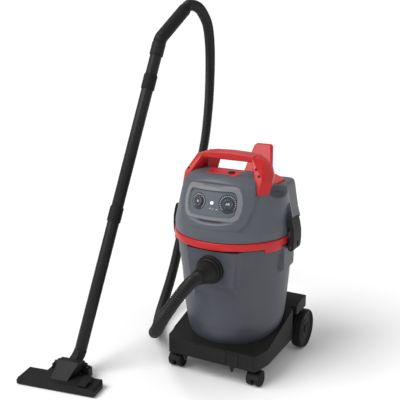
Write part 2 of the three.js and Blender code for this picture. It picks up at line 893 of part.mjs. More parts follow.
// Air ring with its slot, turning on the hand pipe
const airRingBore = (TUBE_RADIUS + FIT) / Math.cos(Math.PI / TUBE_SIDES);
const airRing = straightPipe(
  AIR_RING_RADIUS,
  airRingBore,
  handStart + AIR_RING_START,
  handStart + AIR_RING_START + AIR_RING_LENGTH,
  TUBE_SIDES,
).subtract(
  block(
    -AIR_SLOT_HALF,
    AIR_SLOT_HALF,
    -AIR_RING_RADIUS * 2,
    0,
    handStart + AIR_RING_START + AIR_SLOT_LENGTH,
    handStart + AIR_RING_START + AIR_SLOT_LENGTH * 2,
  ),
);
add("air_ring", placed(airRing, wandFrame), "black");

// Ribbed grip over the bend; the hose ends face to face with it
const gripStart = AIR_RING_START + AIR_RING_LENGTH + FIT;
const gripEnd = gripStart + GRIP_LENGTH;
const gripRings = [];
for (let i = 0; i <= GRIP_RIBS * 2; i += 1) {
  const at = THREE.MathUtils.lerp(gripStart, gripEnd, i / (GRIP_RIBS * 2));
  gripRings.push([at, GRIP_RADIUS - (i % 2 ? 0 : GRIP_RIB_DEPTH)]);
}
const gripBore = atRadius(stops(gripStart, gripEnd), TUBE_RADIUS + FIT);
const capStart = handLength + FIT;
const capRadius = (GRIP_RADIUS - GRIP_RIB_DEPTH + TUBE_RADIUS + FIT) / 2;
const gripCap = handPipe(
  atRadius([capStart, gripEnd], capRadius),
  atRadius([capStart, gripEnd], HOSE_BORE_RADIUS),
);
const grip = handPipe(gripRings, gripBore);
add("hand_grip", placed(grip.add(gripCap), wandFrame), "rubber");

// Tubes and the ribbed sleeves that join them; each tube's upper end is necked to enter a sleeve
function tube(z0) {
  const z1 = z0 + TUBE_LENGTH;
  const neck = z1 - TUBE_OVERLAP;
  return solid(
    lathe(
      [
        [TUBE_RADIUS, z0],
        [TUBE_RADIUS, neck - TUBE_WALL],
        [TUBE_SPIGOT_RADIUS, neck],
        [TUBE_SPIGOT_RADIUS, z1],
        [spigotBore, z1],
        [spigotBore, neck],
        [tubeBore, neck - TUBE_WALL * 2],
        [tubeBore, z0],
        [TUBE_RADIUS, z0],
      ],
      TUBE_SIDES,
    ),
  );
}

const tubePitch = TUBE_LENGTH - TUBE_OVERLAP + FIT;
const tubeStarts = [0, tubePitch];
["tube_lower", "tube_upper"].forEach((name, i) => {
  add(name, placed(tube(tubeStarts[i]), wandFrame), "black");
  const joint = tubeStarts[i] + tubePitch;
  const sleeve = straightPipe(
    SLEEVE_RADIUS,
    TUBE_RADIUS + FIT,
    joint - SLEEVE_LENGTH / 2,
    joint + SLEEVE_LENGTH / 2,
    TUBE_SIDES,
    SLEEVE_RIBS,
    SLEEVE_RIB_DEPTH,
  );
  add(["joint_sleeve_lower", "joint_sleeve_upper"][i], placed(sleeve, wandFrame), "rubber");
});

// Hose: a plain round tube on a smooth line through the route, its ends straight and square
const gripFace = handStation(gripEnd + FIT);
const hoseFar = gripFace.at.clone().applyMatrix4(wandFrame);
const hoseFarWay = gripFace.along.clone().transformDirection(wandFrame);
const hoseNear = new THREE.Vector3(INLET_X, (flangeY - CUFF_REACH) - FIT, INLET_Z);
const hoseNearWay = new THREE.Vector3(0, -1, 0);
const straightRun = HOSE_RADIUS * 2;
const routePoints = [
  hoseNear,
  hoseNear.clone().addScaledVector(hoseNearWay, straightRun / 2),
  hoseNear.clone().addScaledVector(hoseNearWay, straightRun),
  ...HOSE_ROUTE.map((p) => new THREE.Vector3(...p)),
  hoseFar.clone().addScaledVector(hoseFarWay, HOSE_FAR_RUN),
  hoseFar,
];
const hoseLine = new THREE.CatmullRomCurve3(routePoints, false, "centripetal");
hoseLine.arcLengthDivisions = HOSE_RINGS * HOSE_SIDES;
const hoseFrames = hoseLine.computeFrenetFrames(HOSE_RINGS, false);

function hoseStation(i) {
  return {
    at: hoseLine.getPointAt(i / HOSE_RINGS),
    along: hoseFrames.tangents[i],
    side: hoseFrames.normals[i],
  };
}

const hoseStations = Array.from({ length: HOSE_RINGS + 1 }, (_, i) => hoseStation(i));
const hoseOutside = hoseStations.map((station) => ringAt(station, HOSE_RADIUS, HOSE_SIDES));
add("hose", rod(hoseOutside, hoseNear.toArray(), hoseFar.toArray()), "rubber");

// Least gap between lengths of the hose that are not neighbours, measured on its surface points
function leastHoseGap() {
  const middles = hoseStations.map((station) => station.at);
  const step = hoseLine.getLength() / HOSE_RINGS;
  const apart = Math.ceil((HOSE_RADIUS * 5) / step);
  let least = Infinity;
  for (let i = 0; i < middles.length; i += 2) {
    for (let j = i + apart; j < middles.length; j += 2) {
      if (middles[i].distanceTo(middles[j]) > HOSE_RADIUS * 6) continue;
      for (const a of hoseOutside[i]) {
        for (const b of hoseOutside[j]) {
          least = Math.min(least, Math.hypot(a[0] - b[0], a[1] - b[1], a[2] - b[2]));
        }
      }
    }
  }
  return least;
}

const hoseGap = leastHoseGap();
console.log("hose length " + hoseLine.getLength().toFixed(0) + " mm, least gap to itself " + hoseGap);
if (hoseGap < HOSE_LEAST_GAP) throw new Error("the hose touches itself");

// Trolley
const trolleyPlan = [
  ...TROLLEY_CORNER.map(([side, front]) => [TROLLEY_HALF - side, TROLLEY_FRONT_Y + front]),
  [TROLLEY_HALF, TROLLEY_WAIST_Y],
  [trolleyWaistHalf, TROLLEY_WAIST_Y + TROLLEY_WAIST_STEP],
  [trolleyWaistHalf, TROLLEY_BACK_Y],
];
const trolleyOutline = [...trolleyPlan, ...mirrored(trolleyPlan).reverse()];
const aboveRail = prismX(
  [
    [TROLLEY_FRONT_Y - OVERCUT, TROLLEY_RAIL_Z],
    [TROLLEY_RISE_START_Y, TROLLEY_RAIL_Z],
    [TROLLEY_RISE_END_Y, TROLLEY_FENDER_Z],
    [TROLLEY_RISE_END_Y, TROLLEY_FENDER_Z + OVERCUT],
    [TROLLEY_FRONT_Y - OVERCUT, TROLLEY_FENDER_Z + OVERCUT],
  ],
  -fenderHalf - OVERCUT,
  fenderHalf + OVERCUT,
);
const drumNest = solid(leant(lathe(tankOuter(TROLLEY_NEST_GAP), TANK_SIDES)));
const wheelInnerX = wheelFaceX - WHEEL_WIDTH;
const coverTopZ = TROLLEY_RAIL_Z - COVER_MARGIN;
const coverFootZ = TROLLEY_FOOT_Z + COVER_MARGIN;
const wheelWell = moved(
  alongX(disc(WHEEL_RADIUS + RUN * 2, wheelInnerX - RUN, wheelFaceX + OVERCUT, 32)),
  0,
  AXLE_Y,
  WHEEL_RADIUS,
);
const fenderRight = block(
  trolleyWaistHalf - OVERCUT,
  fenderHalf,
  FENDER_FRONT_Y,
  TROLLEY_BACK_Y,
  FENDER_FOOT_Z,
  TROLLEY_FENDER_Z,
);
const bothSides = (shape) => shape.add(placed(shape, new THREE.Matrix4().makeScale(-1, 1, 1)));
const axleLug = moved(
  alongX(disc(AXLE_LUG_RADIUS, trolleyWaistHalf - OVERCUT * 2, wheelInnerX - RUN, 20)),
  0,
  AXLE_Y,
  WHEEL_RADIUS,
);
const casterTopZ = TROLLEY_FOOT_Z - FIT;
const stemHole = disc(
  CASTER_STEM_RADIUS + FIT,
  TROLLEY_FOOT_Z - OVERCUT,
  TROLLEY_FOOT_Z + CASTER_STEM_LENGTH + FIT,
  12,
);
const trolley = prism(trolleyOutline, TROLLEY_FOOT_Z, TROLLEY_FENDER_Z)
  .add(bothSides(fenderRight))
  .add(bothSides(axleLug))
  .subtract(aboveRail)
  .subtract(bothSides(wheelWell))
  .subtract(drumNest)
  .subtract(
    moved(
      disc(TROLLEY_UNDER_RADIUS, TROLLEY_FOOT_Z - OVERCUT, TANK_FOOT_Z - TROLLEY_UNDER_WALL, 24),
      0,
      TANK_FOOT_SHIFT,
      0,
    ),
  )
  .subtract(moved(alongX(disc(AXLE_RADIUS + FIT, -fenderHalf, fenderHalf, 16)), 0, AXLE_Y, WHEEL_RADIUS))
  .subtract(moved(stemHole, casterX, CASTER_Y + CASTER_TRAIL, 0))
  .subtract(moved(stemHole, -casterX, CASTER_Y + CASTER_TRAIL, 0))
  .subtract(
    block(
      COVER_LEFT_X,
      COVER_RIGHT_X,
      TROLLEY_FRONT_Y - OVERCUT,
      TROLLEY_FRONT_Y + COVER_DEPTH,
      coverFootZ,
      coverTopZ,
    ),
  );
add("trolley", trolley, "black");

const frontCover = block(
  COVER_LEFT_X + FIT,
  COVER_RIGHT_X - FIT,
  TROLLEY_FRONT_Y - COVER_DEPTH / 2,
  TROLLEY_FRONT_Y + COVER_DEPTH - FIT,
  coverFootZ + FIT,
  coverTopZ - FIT,
);
add("front_cover", frontCover, "black");

PEG_XS.forEach((x, i) => {
  const z = TROLLEY_FOOT_Z - FIT;
  const peg = solid(
    lathe(
      [
        [0, z - PEG_DROP],
        [PEG_TIP_RADIUS, z - PEG_DROP],
        [PEG_RADIUS, z - PEG_DROP / 3],
        [PEG_RADIUS, z],
        [0, z],
      ],
      12,
    ),
  );
  add(["foot_peg_left", "foot_peg_right"][i], moved(peg, x, PEG_Y, 0), "black");
});

// Rear axle, wheels, tyres and caps
const axleHalf = wheelFaceX - HUB_DISH;
add("rear_axle", moved(alongX(disc(AXLE_RADIUS, -axleHalf, axleHalf, 16)), 0, AXLE_Y, WHEEL_RADIUS), "steel");
const hubRadius = WHEEL_RADIUS - TYRE_DEPTH;
const hubProfile = [
  [AXLE_RADIUS + FIT, 0],
  [hubRadius, 0],
  [hubRadius, WHEEL_WIDTH - TYRE_CROWN],
  ...[...HUB_DISH_SHARES].reverse().map((share, i) => [
    hubRadius * share,
    WHEEL_WIDTH - (i % 2 ? HUB_DISH : TYRE_CROWN),
  ]),
  [AXLE_RADIUS + FIT, WHEEL_WIDTH - HUB_DISH],
  [AXLE_RADIUS + FIT, 0],
];
const tyreProfile = [
  [hubRadius + FIT, 0],
  [WHEEL_RADIUS - TYRE_CROWN, 0],
  [WHEEL_RADIUS, TYRE_CROWN * 2],
  [WHEEL_RADIUS, WHEEL_WIDTH - TYRE_CROWN * 2],
  [WHEEL_RADIUS - TYRE_CROWN, WHEEL_WIDTH],
  [hubRadius + FIT, WHEEL_WIDTH],
  [hubRadius + FIT, 0],
];
const capProfile = [
  [0, WHEEL_WIDTH - HUB_DISH + FIT],
  [CAP_RADIUS, WHEEL_WIDTH - HUB_DISH + FIT],
  [CAP_RADIUS, WHEEL_WIDTH - HUB_DISH + CAP_THICKNESS / 2],
  [CAP_RADIUS / 2, WHEEL_WIDTH - HUB_DISH + CAP_THICKNESS],
  [0, WHEEL_WIDTH - HUB_DISH + CAP_THICKNESS],
];
for (const [side, sign] of [["left", -1], ["right", 1]]) {
  const place = new THREE.Matrix4()
    .makeTranslation(sign * wheelInnerX, AXLE_Y, WHEEL_RADIUS)
    .multiply(new THREE.Matrix4().makeRotationY(degrees(90 * sign)));
  add("rear_wheel_" + side, placed(solid(lathe(hubProfile, 24)), place), "black");
  add("rear_tyre_" + side, placed(solid(lathe(tyreProfile, 32)), place), "rubber");
  add("axle_cap_" + side, placed(solid(lathe(capProfile, 20)), place), "black");
}

// Casters: a swivelling fork with its stem and hood, and a twin wheel on one axle
const casterHubZ = CASTER_RADIUS;
const twinHalf = CASTER_GAP / 2 + CASTER_WHEEL_WIDTH;
const forkHalf = CASTER_GAP / 2 - RUN;
const twinProfile = [
  [0, -twinHalf],
  [CASTER_RADIUS - CASTER_PLATE, -twinHalf],
  [CASTER_RADIUS, -twinHalf + CASTER_PLATE],
  [CASTER_RADIUS, -CASTER_GAP / 2],
  [CASTER_AXLE_RADIUS, -CASTER_GAP / 2],
  [CASTER_AXLE_RADIUS, CASTER_GAP / 2],
  [CASTER_RADIUS, CASTER_GAP / 2],
  [CASTER_RADIUS, twinHalf - CASTER_PLATE],
  [CASTER_RADIUS - CASTER_PLATE, twinHalf],
  [0, twinHalf],
];
for (const [side, sign] of [["left", -1], ["right", 1]]) {
  const x = sign * casterX;
  const stemY = CASTER_Y + CASTER_TRAIL;
  const forkWeb = block(
    x - forkHalf,
    x + forkHalf,
    CASTER_Y - CASTER_STEM_RADIUS * 2,
    stemY + CASTER_STEM_RADIUS,
    casterHubZ - CASTER_STEM_RADIUS * 2,
    casterTopZ - CASTER_PLATE / 2,
  );
  const hoodZ = casterHubZ;
  const hood = moved(
    alongX(
      ringShape(
        CASTER_RADIUS + RUN + CASTER_HOOD_WALL,
        CASTER_RADIUS + RUN,
        x - twinHalf + CASTER_PLATE,
        x + twinHalf - CASTER_PLATE,
        20,
      ),
    ),
    0,
    CASTER_Y,
    hoodZ,
  )
    .subtract(
      block(
        x - twinHalf,
        x + twinHalf,
        CASTER_Y - WHEEL_RADIUS,
        CASTER_Y + WHEEL_RADIUS,
        -OVERCUT,
        hoodZ + OVERCUT / 2,
      ),
    );
  const stem = moved(disc(CASTER_STEM_RADIUS, -CASTER_PLATE, CASTER_STEM_LENGTH, 12), x, stemY, casterTopZ);
  const plate = moved(disc(CASTER_PLATE_RADIUS, -CASTER_PLATE * 3, 0, 16), x, stemY, casterTopZ);
  const wheelSpace = moved(
    alongX(disc(CASTER_RADIUS + RUN, x - twinHalf, x - forkHalf, 20)).add(
      alongX(disc(CASTER_RADIUS + RUN, x + forkHalf, x + twinHalf, 20)),
    ),
    0,
    CASTER_Y,
    casterHubZ,
  );
  const axleHole = moved(
    alongX(disc(CASTER_AXLE_RADIUS + FIT, x - twinHalf, x + twinHalf, 16)),
    0,
    CASTER_Y,
    casterHubZ,
  );
  const fork = hood.add(forkWeb).add(plate).add(stem).subtract(wheelSpace).subtract(axleHole);
  add("caster_fork_" + side, fork, "black");
  const twin = moved(alongX(moved(solid(lathe(twinProfile, 20)), 0, 0, x)), 0, CASTER_Y, casterHubZ);
  add("caster_wheels_" + side, twin, "rubber");
}

// Latch brackets on the tank pads, pins and latches
const latchX0 = latchPadX + FIT;
const bracketOut = latchPinX + LATCH_PIN_RADIUS * 2;
const bracketFoot = LATCH_PIN_Z - LATCH_PIN_RADIUS * 3;
const bracketTop = LATCH_PIN_Z + LATCH_PIN_RADIUS * 3;
const latchPin = (grow, half) =>
  moved(alongY(disc(LATCH_PIN_RADIUS + grow, -half, half, 12)), latchPinX, LATCH_Y, LATCH_PIN_Z);
for (const [side, sign] of [["left", -1], ["right", 1]]) {
  const flip = new THREE.Matrix4().makeScale(sign, 1, 1);
  const bracket = block(
    latchX0,
    bracketOut,
    LATCH_Y - BRACKET_HALF,
    LATCH_Y + BRACKET_HALF,
    bracketFoot,
    bracketTop,
  ).subtract(latchPin(FIT, LATCH_WIDTH));
  add("latch_bracket_" + side, placed(bracket, flip), "grey");
  add("latch_pin_" + side, placed(latchPin(0, LATCH_WIDTH / 2), flip), "steel");
  const room = BRACKET_HALF + FIT;
  const bracketRoom = block(
    latchPadX,
    bracketOut + OVERCUT,
    LATCH_Y - room,
    LATCH_Y + room,
    bracketFoot - OVERCUT,
    bracketTop + OVERCUT / 2,
  );
  const outline = LATCH_OUTLINE.map(([x, z]) => [latchPinX + x, LATCH_PIN_Z + z]);
  const latch = prismY(outline, LATCH_Y - LATCH_WIDTH / 2, LATCH_Y + LATCH_WIDTH / 2)
    .subtract(latchPin(FIT, LATCH_WIDTH))
    .subtract(bracketRoom);
  add("latch_" + side, placed(latch, flip), "black");
}

const latchWay = bothSides(
  block(
    latchWayX,
    bracketOut + OVERCUT,
    LATCH_Y - LATCH_WIDTH / 2 - RUN,
    LATCH_Y + LATCH_WIDTH / 2 + RUN,
    SKIRT_Z,
    LATCH_WAY_Z,
  ),
);

// Red band with a lug ahead of each latch, and the seal under it
function wedge(fromDegrees, toDegrees, radius, z0, z1) {
  const rim = [0, 0.5, 1].map((share) => {
    const a = degrees(-THREE.MathUtils.lerp(fromDegrees, toDegrees, share));
    return [radius * Math.cos(a), radius * Math.sin(a)];
  });
  return prism([[0, 0], ...rim.reverse()], z0, z1);
}
const lugFoot = BAND_Z - BAND_LUG_DEPTH;
const lugRing = ringShape(bandRadius, bandRadius - BAND_LUG_WALL, lugFoot, BAND_Z + FIT, DOME_SIDES);
const lugLeft = lugRing.intersect(
  wedge(BAND_LUG_START, BAND_LUG_END, bandRadius * 2, lugFoot, BAND_Z + FIT),
);
const lugRight = lugRing.intersect(
  wedge(HALF_TURN - BAND_LUG_END, HALF_TURN - BAND_LUG_START, bandRadius * 2, lugFoot, BAND_Z + FIT),
);
const band = ringShape(bandRadius, bandBore, BAND_Z, BAND_TOP_Z, DOME_SIDES)
  .add(lugLeft)
  .add(lugRight)
  .subtract(latchWay);
add("head_band", band, "red");
const seal = moved(
  ringShape(TANK_RIM_RADIUS, TANK_RIM_RADIUS - SEAL_WIDTH, TANK_RIM_Z + FIT, BAND_Z - FIT, TANK_SIDES),
  0,
  TANK_RIM_SHIFT,
  0,
);
add("head_seal", seal, "rubber");

// Head shell: dome, back block and skirt, hollow, with the pockets for the red pieces
function domeProfile(grow) {
  const [topRadius, topZ] = domeOutline[domeOutline.length - 1];
  return [
    [0, SHELL_FOOT_Z],
    ...domeOutline.slice(0, -1).map(([r, z]) => [r + grow, z]),
    [topRadius + grow / 2, topZ + grow],
    [0, topZ + grow],
  ];
}

function roundedSection(halfWidth, backY, z, corner) {
  const points = [
    [-halfWidth, BLOCK_FRONT_Y, z],
    [halfWidth, BLOCK_FRONT_Y, z],
  ];
  for (const [sx, start] of [[1, 0], [-1, 90]]) {
    for (let i = 0; i <= 3; i += 1) {
      const a = degrees(start + 30 * i);
      const x = sx * (halfWidth - corner) + corner * Math.cos(a);
      points.push([x, backY - corner + corner * Math.sin(a), z]);
    }
  }
  return points;
}

function blockShape(shrink, top) {
  const sections = blockSections.map(([z, half, back], i) => {
    const last = i === blockSections.length - 1;
    const height = last ? z - top : z - (i ? 0 : top);
    return roundedSection(half - shrink, back - shrink, height, BLOCK_CORNER - shrink);
  });
  return solid(loft(sections));
}

// Everything behind the bend of the top, over the slope that runs down to the back block
function overSlope(lift) {
  return prismX(
    [
      [TOP_BEND_Y, TOP_Z + lift],
      [BLOCK_STEP_Y, SLOPE_END_Z + lift],
      [BLOCK_STEP_Y, POST_TOP_Z],
      [TOP_BEND_Y, POST_TOP_Z],
    ],
    -bandRadius,
    bandRadius,
  );
}

// The shoulder that is missing beside each handle leg
const shoulder = (grow) =>
  bothSides(
    block(
      SHOULDER_X + grow,
      bandRadius,
      SHOULDER_FRONT_Y + grow,
      BLOCK_STEP_Y + OVERCUT,
      SLOPE_END_Z + grow,
      POST_TOP_Z,
    ),
  );

const scoopBall = (grow) => {
  const [rx, ry, rz] = SCOOP_RADII;
  const ball = new THREE.IcosahedronGeometry(1, 2).scale(rx + grow, ry + grow, rz + grow);
  return bothSides(solid(ball.translate(...SCOOP_CENTRE)));
};
const topPlan = (grow) => [
  [-PLATE_FRONT_HALF - grow, PLATE_FRONT_Y - grow],
  [PLATE_FRONT_HALF + grow, PLATE_FRONT_Y - grow],
  [PLATE_BACK_HALF + grow, TOP_BEND_Y],
  [PLATE_BACK_HALF + grow, BLOCK_STEP_Y - FIT],
  [-PLATE_BACK_HALF - grow, BLOCK_STEP_Y - FIT],
  [-PLATE_BACK_HALF - grow, TOP_BEND_Y],
];
const pocketFloorZ = TOP_Z - POCKET_DEPTH;
const tonguePlace = (grow) =>
  block(
    TONGUE_X - TONGUE_HALF - grow,
    TONGUE_X + TONGUE_HALF + grow,
    TONGUE_FRONT_Y - grow,
    TONGUE_BACK_Y,
    pocketFloorZ,
    TOP_Z + OVERCUT,
  );
const pocket = prism(topPlan(FIT), SLOPE_END_Z - OVERCUT, TOP_Z + OVERCUT)
  .intersect(
    prismX(
      [
        [PLATE_FRONT_Y - OVERCUT, pocketFloorZ],
        [TOP_BEND_Y, pocketFloorZ],
        [BLOCK_STEP_Y, SLOPE_END_Z - POCKET_DEPTH],
        [BLOCK_STEP_Y, TOP_Z + OVERCUT],
        [PLATE_FRONT_Y - OVERCUT, TOP_Z + OVERCUT],
      ],
      -bandRadius,
      bandRadius,
    ),
  )
  .add(tonguePlace(FIT));
const dome = solid(lathe(domeProfile(0), DOME_SIDES));
const domeHollow = solid(
  lathe(
    [
      [0, SHELL_FOOT_Z - OVERCUT],
      [domeOutline[0][0] - SHELL_WALL, SHELL_FOOT_Z - OVERCUT],
      ...domeOutline.filter(([, z], i) => i % 2 && z < BLOCK_TOP_Z).map(([r, z]) => [r - SHELL_WALL, z]),
      [0, BLOCK_TOP_Z - SHELL_WALL],
    ],
    DOME_SIDES,
  ),
);
const backRoof = block(-bandRadius, bandRadius, BLOCK_STEP_Y, bandRadius * 2, BLOCK_TOP_Z, BLOCK_TOP_Z * 2);
const hollowRoof = block(
  -bandRadius,
  bandRadius,
  BLOCK_STEP_Y - SHELL_WALL,
  bandRadius * 2,
  BLOCK_TOP_Z - SHELL_WALL,
  BLOCK_TOP_Z * 2,
);
const skirt = block(-SKIRT_HALF, SKIRT_HALF, skirtFrontY, skirtBackY, SKIRT_Z, SHELL_FOOT_Z + FIT)
  .subtract(disc(bandRadius + RUN, SKIRT_Z - OVERCUT, SHELL_FOOT_Z, DOME_SIDES));
const hollow = domeHollow
  .add(blockShape(SHELL_WALL, SHELL_WALL))
  .subtract(hollowRoof)
  .subtract(scoopBall(SHELL_WALL));
const wholeOutline = (half) => [...half, ...mirrored(half).reverse()];
const panelPrism = (half, grow) =>
  prismY(
    wholeOutline(half).map(([x, z]) => [x + Math.sign(x) * grow, z + Math.sign(z - DIAL_Z) * grow]),
    -bandRadius - OVERCUT,
    -bandRadius / 2,
  );
const domeSolid = (grow) => solid(lathe(domeProfile(grow), DOME_SIDES));
const bezel = domeSolid(BEZEL_PROUD).intersect(panelPrism(BEZEL_OUTLINE, 0));
const panelCut = panelPrism(PANEL_OUTLINE, FIT).subtract(domeSolid(-PANEL_DEPTH - FIT));
const shellBody = dome
  .add(blockShape(0, 0))
  .add(skirt)
  .subtract(backRoof)
  .subtract(overSlope(0))
  .subtract(shoulder(0))
  .subtract(pocket)
  .subtract(scoopBall(0))
  .add(bezel)
  .subtract(panelCut)
  .subtract(hollow);

// A hole square to the panel for each dial and the lamp
function panelPlace(x, z, radiusAt) {
  const y = -Math.sqrt(radiusAt * radiusAt - x * x);
  const steps = domeOutline;
  const i = steps.findIndex(([, height]) => height > z);
  const [r0, z0] = steps[i - 1];
  const [r1, z1] = steps[i];
  const radial = new THREE.Vector3(x, y, 0).normalize();
  const normal = radial.clone().multiplyScalar(z1 - z0);
  normal.z = r0 - r1;
  normal.normalize();
  const side = new THREE.Vector3(0, 0, 1).cross(normal).normalize();
  const up = new THREE.Vector3().crossVectors(normal, side);
  return new THREE.Matrix4()
    .makeTranslation(x, y, z)
    .multiply(new THREE.Matrix4().makeBasis(side, up, normal));
}

function domeRadius(z) {
  const i = domeOutline.findIndex(([, height]) => height > z);
  const [r0, z0] = domeOutline[i - 1];
  const [r1, z1] = domeOutline[i];
  return THREE.MathUtils.lerp(r0, r1, (z - z0) / (z1 - z0));
}
const faceRadius = domeRadius(DIAL_Z) + PANEL_PROUD;
const fittings = [
  ["dial_left", DIAL_LEFT_X, DIAL_Z, DIAL_RADIUS, DIAL_HEIGHT, "black"],
  ["dial_right", DIAL_RIGHT_X, DIAL_Z, DIAL_RADIUS, DIAL_HEIGHT, "black"],
  ["panel_lamp", LAMP_X, DIAL_Z, LAMP_RADIUS, LAMP_HEIGHT, "lamp"],
];
let panel = domeSolid(PANEL_PROUD)
  .intersect(panelPrism(PANEL_OUTLINE, 0))
  .subtract(domeSolid(-PANEL_DEPTH));
let shell = shellBody;
for (const [name, x, z, radius, height, look] of fittings) {
  const place = panelPlace(x, z, faceRadius);
  const stemHole = placed(disc(DIAL_STEM_RADIUS + FIT, -DIAL_STEM * 2, DIAL_STEM, 12), place);
  panel = panel.subtract(stemHole);
  shell = shell.subtract(stemHole);
  const seat = RUN + FIT;
  const stem = disc(DIAL_STEM_RADIUS, -DIAL_STEM, seat + FIT, 12);
  const knob = disc(radius, seat, seat + height, radius === LAMP_RADIUS ? 16 : 24);
  add(name, placed(knob.add(stem), place), look);
}
add("panel_face", panel, "panel");

// Carry handle: two legs sunk into the dome and a bar
const barSection = (x, lift) =>
  [
    [BAR_FRONT_Y, BAR_FOOT_Z + BAR_CHAMFER / 2],
    [BAR_FRONT_Y + BAR_CHAMFER / 2, BAR_FOOT_Z],
    [BAR_BACK_Y - BAR_CHAMFER / 2, BAR_FOOT_Z],
    [BAR_BACK_Y, BAR_FOOT_Z + BAR_CHAMFER / 2],
    [BAR_BACK_Y, BAR_TOP_Z - BAR_CHAMFER + lift],
    [BAR_BACK_Y - BAR_CHAMFER, BAR_TOP_Z + lift],
    [BAR_FRONT_Y + BAR_CHAMFER / 3, BAR_TOP_Z + lift],
    [BAR_FRONT_Y, BAR_TOP_Z - BAR_CHAMFER / 3 + lift],
  ].map(([y, z]) => [x, y, z]);
const barHalves = BAR_HALF_SECTIONS.map(([x, lift]) => [x, lift]);
const barStations = [...mirrored(barHalves), [0, 0], ...[...barHalves].reverse()];
const bar = solid(loft(barStations.map(([x, lift]) => barSection(x, lift))));
const fin = prismX(FIN_OUTLINE, FIN_INNER_X, FIN_OUTER_X);
const handle = bar
  .add(bothSides(hull(HANDLE_LEG).add(fin)))
  .subtract(domeSolid(FIT).subtract(overSlope(FIT)).subtract(shoulder(FIT)));
add("carry_handle", handle, "red");

// Top plate with its tongue and key, back plate and cord post
const topPlate = prism(topPlan(0), SLOPE_END_Z - OVERCUT, TOP_Z)
  .subtract(
    prismX(
      [
        [PLATE_FRONT_Y - OVERCUT, SLOPE_END_Z - OVERCUT * 2],
        [BLOCK_STEP_Y, SLOPE_END_Z - OVERCUT * 2],
        [BLOCK_STEP_Y, SLOPE_END_Z - POCKET_DEPTH + FIT],
        [TOP_BEND_Y, pocketFloorZ + FIT],
        [PLATE_FRONT_Y - OVERCUT, pocketFloorZ + FIT],
      ],
      -bandRadius,
      bandRadius,
    ),
  )
  .add(
    block(
      TONGUE_X - TONGUE_HALF,
      TONGUE_X + TONGUE_HALF,
      TONGUE_FRONT_Y,
      TONGUE_BACK_Y,
      pocketFloorZ + FIT,
      TOP_Z,
    ),
  )
  .subtract(overSlope(0));
const keyFloor = pocketFloorZ + POCKET_DEPTH / 3;
const keyWell = moved(disc(KEY_RADIUS + FIT, keyFloor, TOP_Z + OVERCUT, 20), KEY_X, KEY_Y, 0);
add("top_plate", topPlate.subtract(keyWell), "red");
const key = disc(KEY_RADIUS, keyFloor + FIT + KEY_TRAVEL, TOP_Z + KEY_PROUD, 20);
add("cleaning_key", moved(key, KEY_X, KEY_Y, 0), "black");

const backPlateFoot = BLOCK_TOP_Z + FIT;
const backPlateTop = backPlateFoot + BACK_PLATE_THICKNESS;
const backPlate = prism(
  [
    [-BACK_PLATE_HALF, BLOCK_STEP_Y + FIT],
    [BACK_PLATE_HALF, BLOCK_STEP_Y + FIT],
    [BACK_PLATE_HALF, BACK_PLATE_END_Y - BLOCK_CORNER * 2],
    [BACK_PLATE_HALF - BLOCK_CORNER * 2, BACK_PLATE_END_Y],
    [BLOCK_CORNER * 2 - BACK_PLATE_HALF, BACK_PLATE_END_Y],
    [-BACK_PLATE_HALF, BACK_PLATE_END_Y - BLOCK_CORNER * 2],
  ],
  backPlateFoot,
  backPlateTop,
);
add("back_plate", backPlate, "red");
const postFoot = backPlateTop + FIT;
const postRow = (half, y, z) => [
  [-half, y, z],
  [half, y, z],
  [half, y + POST_THICKNESS, z],
  [-half, y + POST_THICKNESS, z],
];
const post = hull([
  ...postRow(POST_FOOT_HALF, POST_FOOT_Y, postFoot),
  ...postRow(POST_TOP_HALF, POST_TOP_Y, POST_TOP_Z - POST_TOP_CORNER),
  ...postRow(POST_TOP_HALF - POST_TOP_CORNER, POST_TOP_Y, POST_TOP_Z),
]);
add("cord_post", post, "red");

shell = shell.subtract(latchWay);
const cordHole = moved(alongY(disc(GLAND_RADIUS / 2, 0, skirtBackY + OVERCUT, 16)), GLAND_X, 0, GLAND_Z);
const aheadOfSkirt = block(-bandRadius, bandRadius, -OVERCUT, skirtFrontY - OVERCUT, 0, POST_TOP_Z);
shell = shell.subtract(cordHole.subtract(aheadOfSkirt));
add("head_shell", shell, "grey");

// Gland for the mains lead in the back wall
const glandY = blockSections[1][2] - RUN;
const gland = ringShape(GLAND_RADIUS, CORD_BORE, 0, GLAND_LENGTH, 14).add(
  ringShape(GLAND_RADIUS / 2 - FIT, CORD_BORE, -SHELL_WALL * 2, FIT, 12),
);
add("cord_gland", moved(alongY(gland), GLAND_X, glandY, GLAND_Z), "rubber");

// Motor plate, motor housing, shaft, fan, foam
const plateUp = MOTOR_PLATE_Z + MOTOR_PLATE_THICKNESS;
const motorPlate = ringShape(motorPlateRadius, SUCTION_RADIUS, MOTOR_PLATE_Z, plateUp, DOME_SIDES);
add("motor_plate", motorPlate, "black");
const chamberFoot = plateUp + FIT;
const chamberTop = chamberFoot + FAN_CHAMBER_HEIGHT;
const motorTop = chamberFoot + MOTOR_HEIGHT;
const housing = solid(
  lathe(
    [
      [FAN_CHAMBER_RADIUS, chamberFoot],
      [FAN_CHAMBER_RADIUS, chamberTop],
      [MOTOR_RADIUS, chamberTop],
      [MOTOR_RADIUS, motorTop],
      [SHAFT_RADIUS + FIT, motorTop],
      [SHAFT_RADIUS + FIT, motorTop - MOTOR_WALL],
      [MOTOR_RADIUS - MOTOR_WALL, motorTop - MOTOR_WALL],
      [MOTOR_RADIUS - MOTOR_WALL, chamberTop - MOTOR_WALL],
      [FAN_CHAMBER_RADIUS - MOTOR_WALL, chamberTop - MOTOR_WALL],
      [FAN_CHAMBER_RADIUS - MOTOR_WALL, chamberFoot],
      [FAN_CHAMBER_RADIUS, chamberFoot],
    ],
    24,
  ),
);
add("motor_housing", housing, "natural");
const shaftFoot = chamberFoot + RUN;
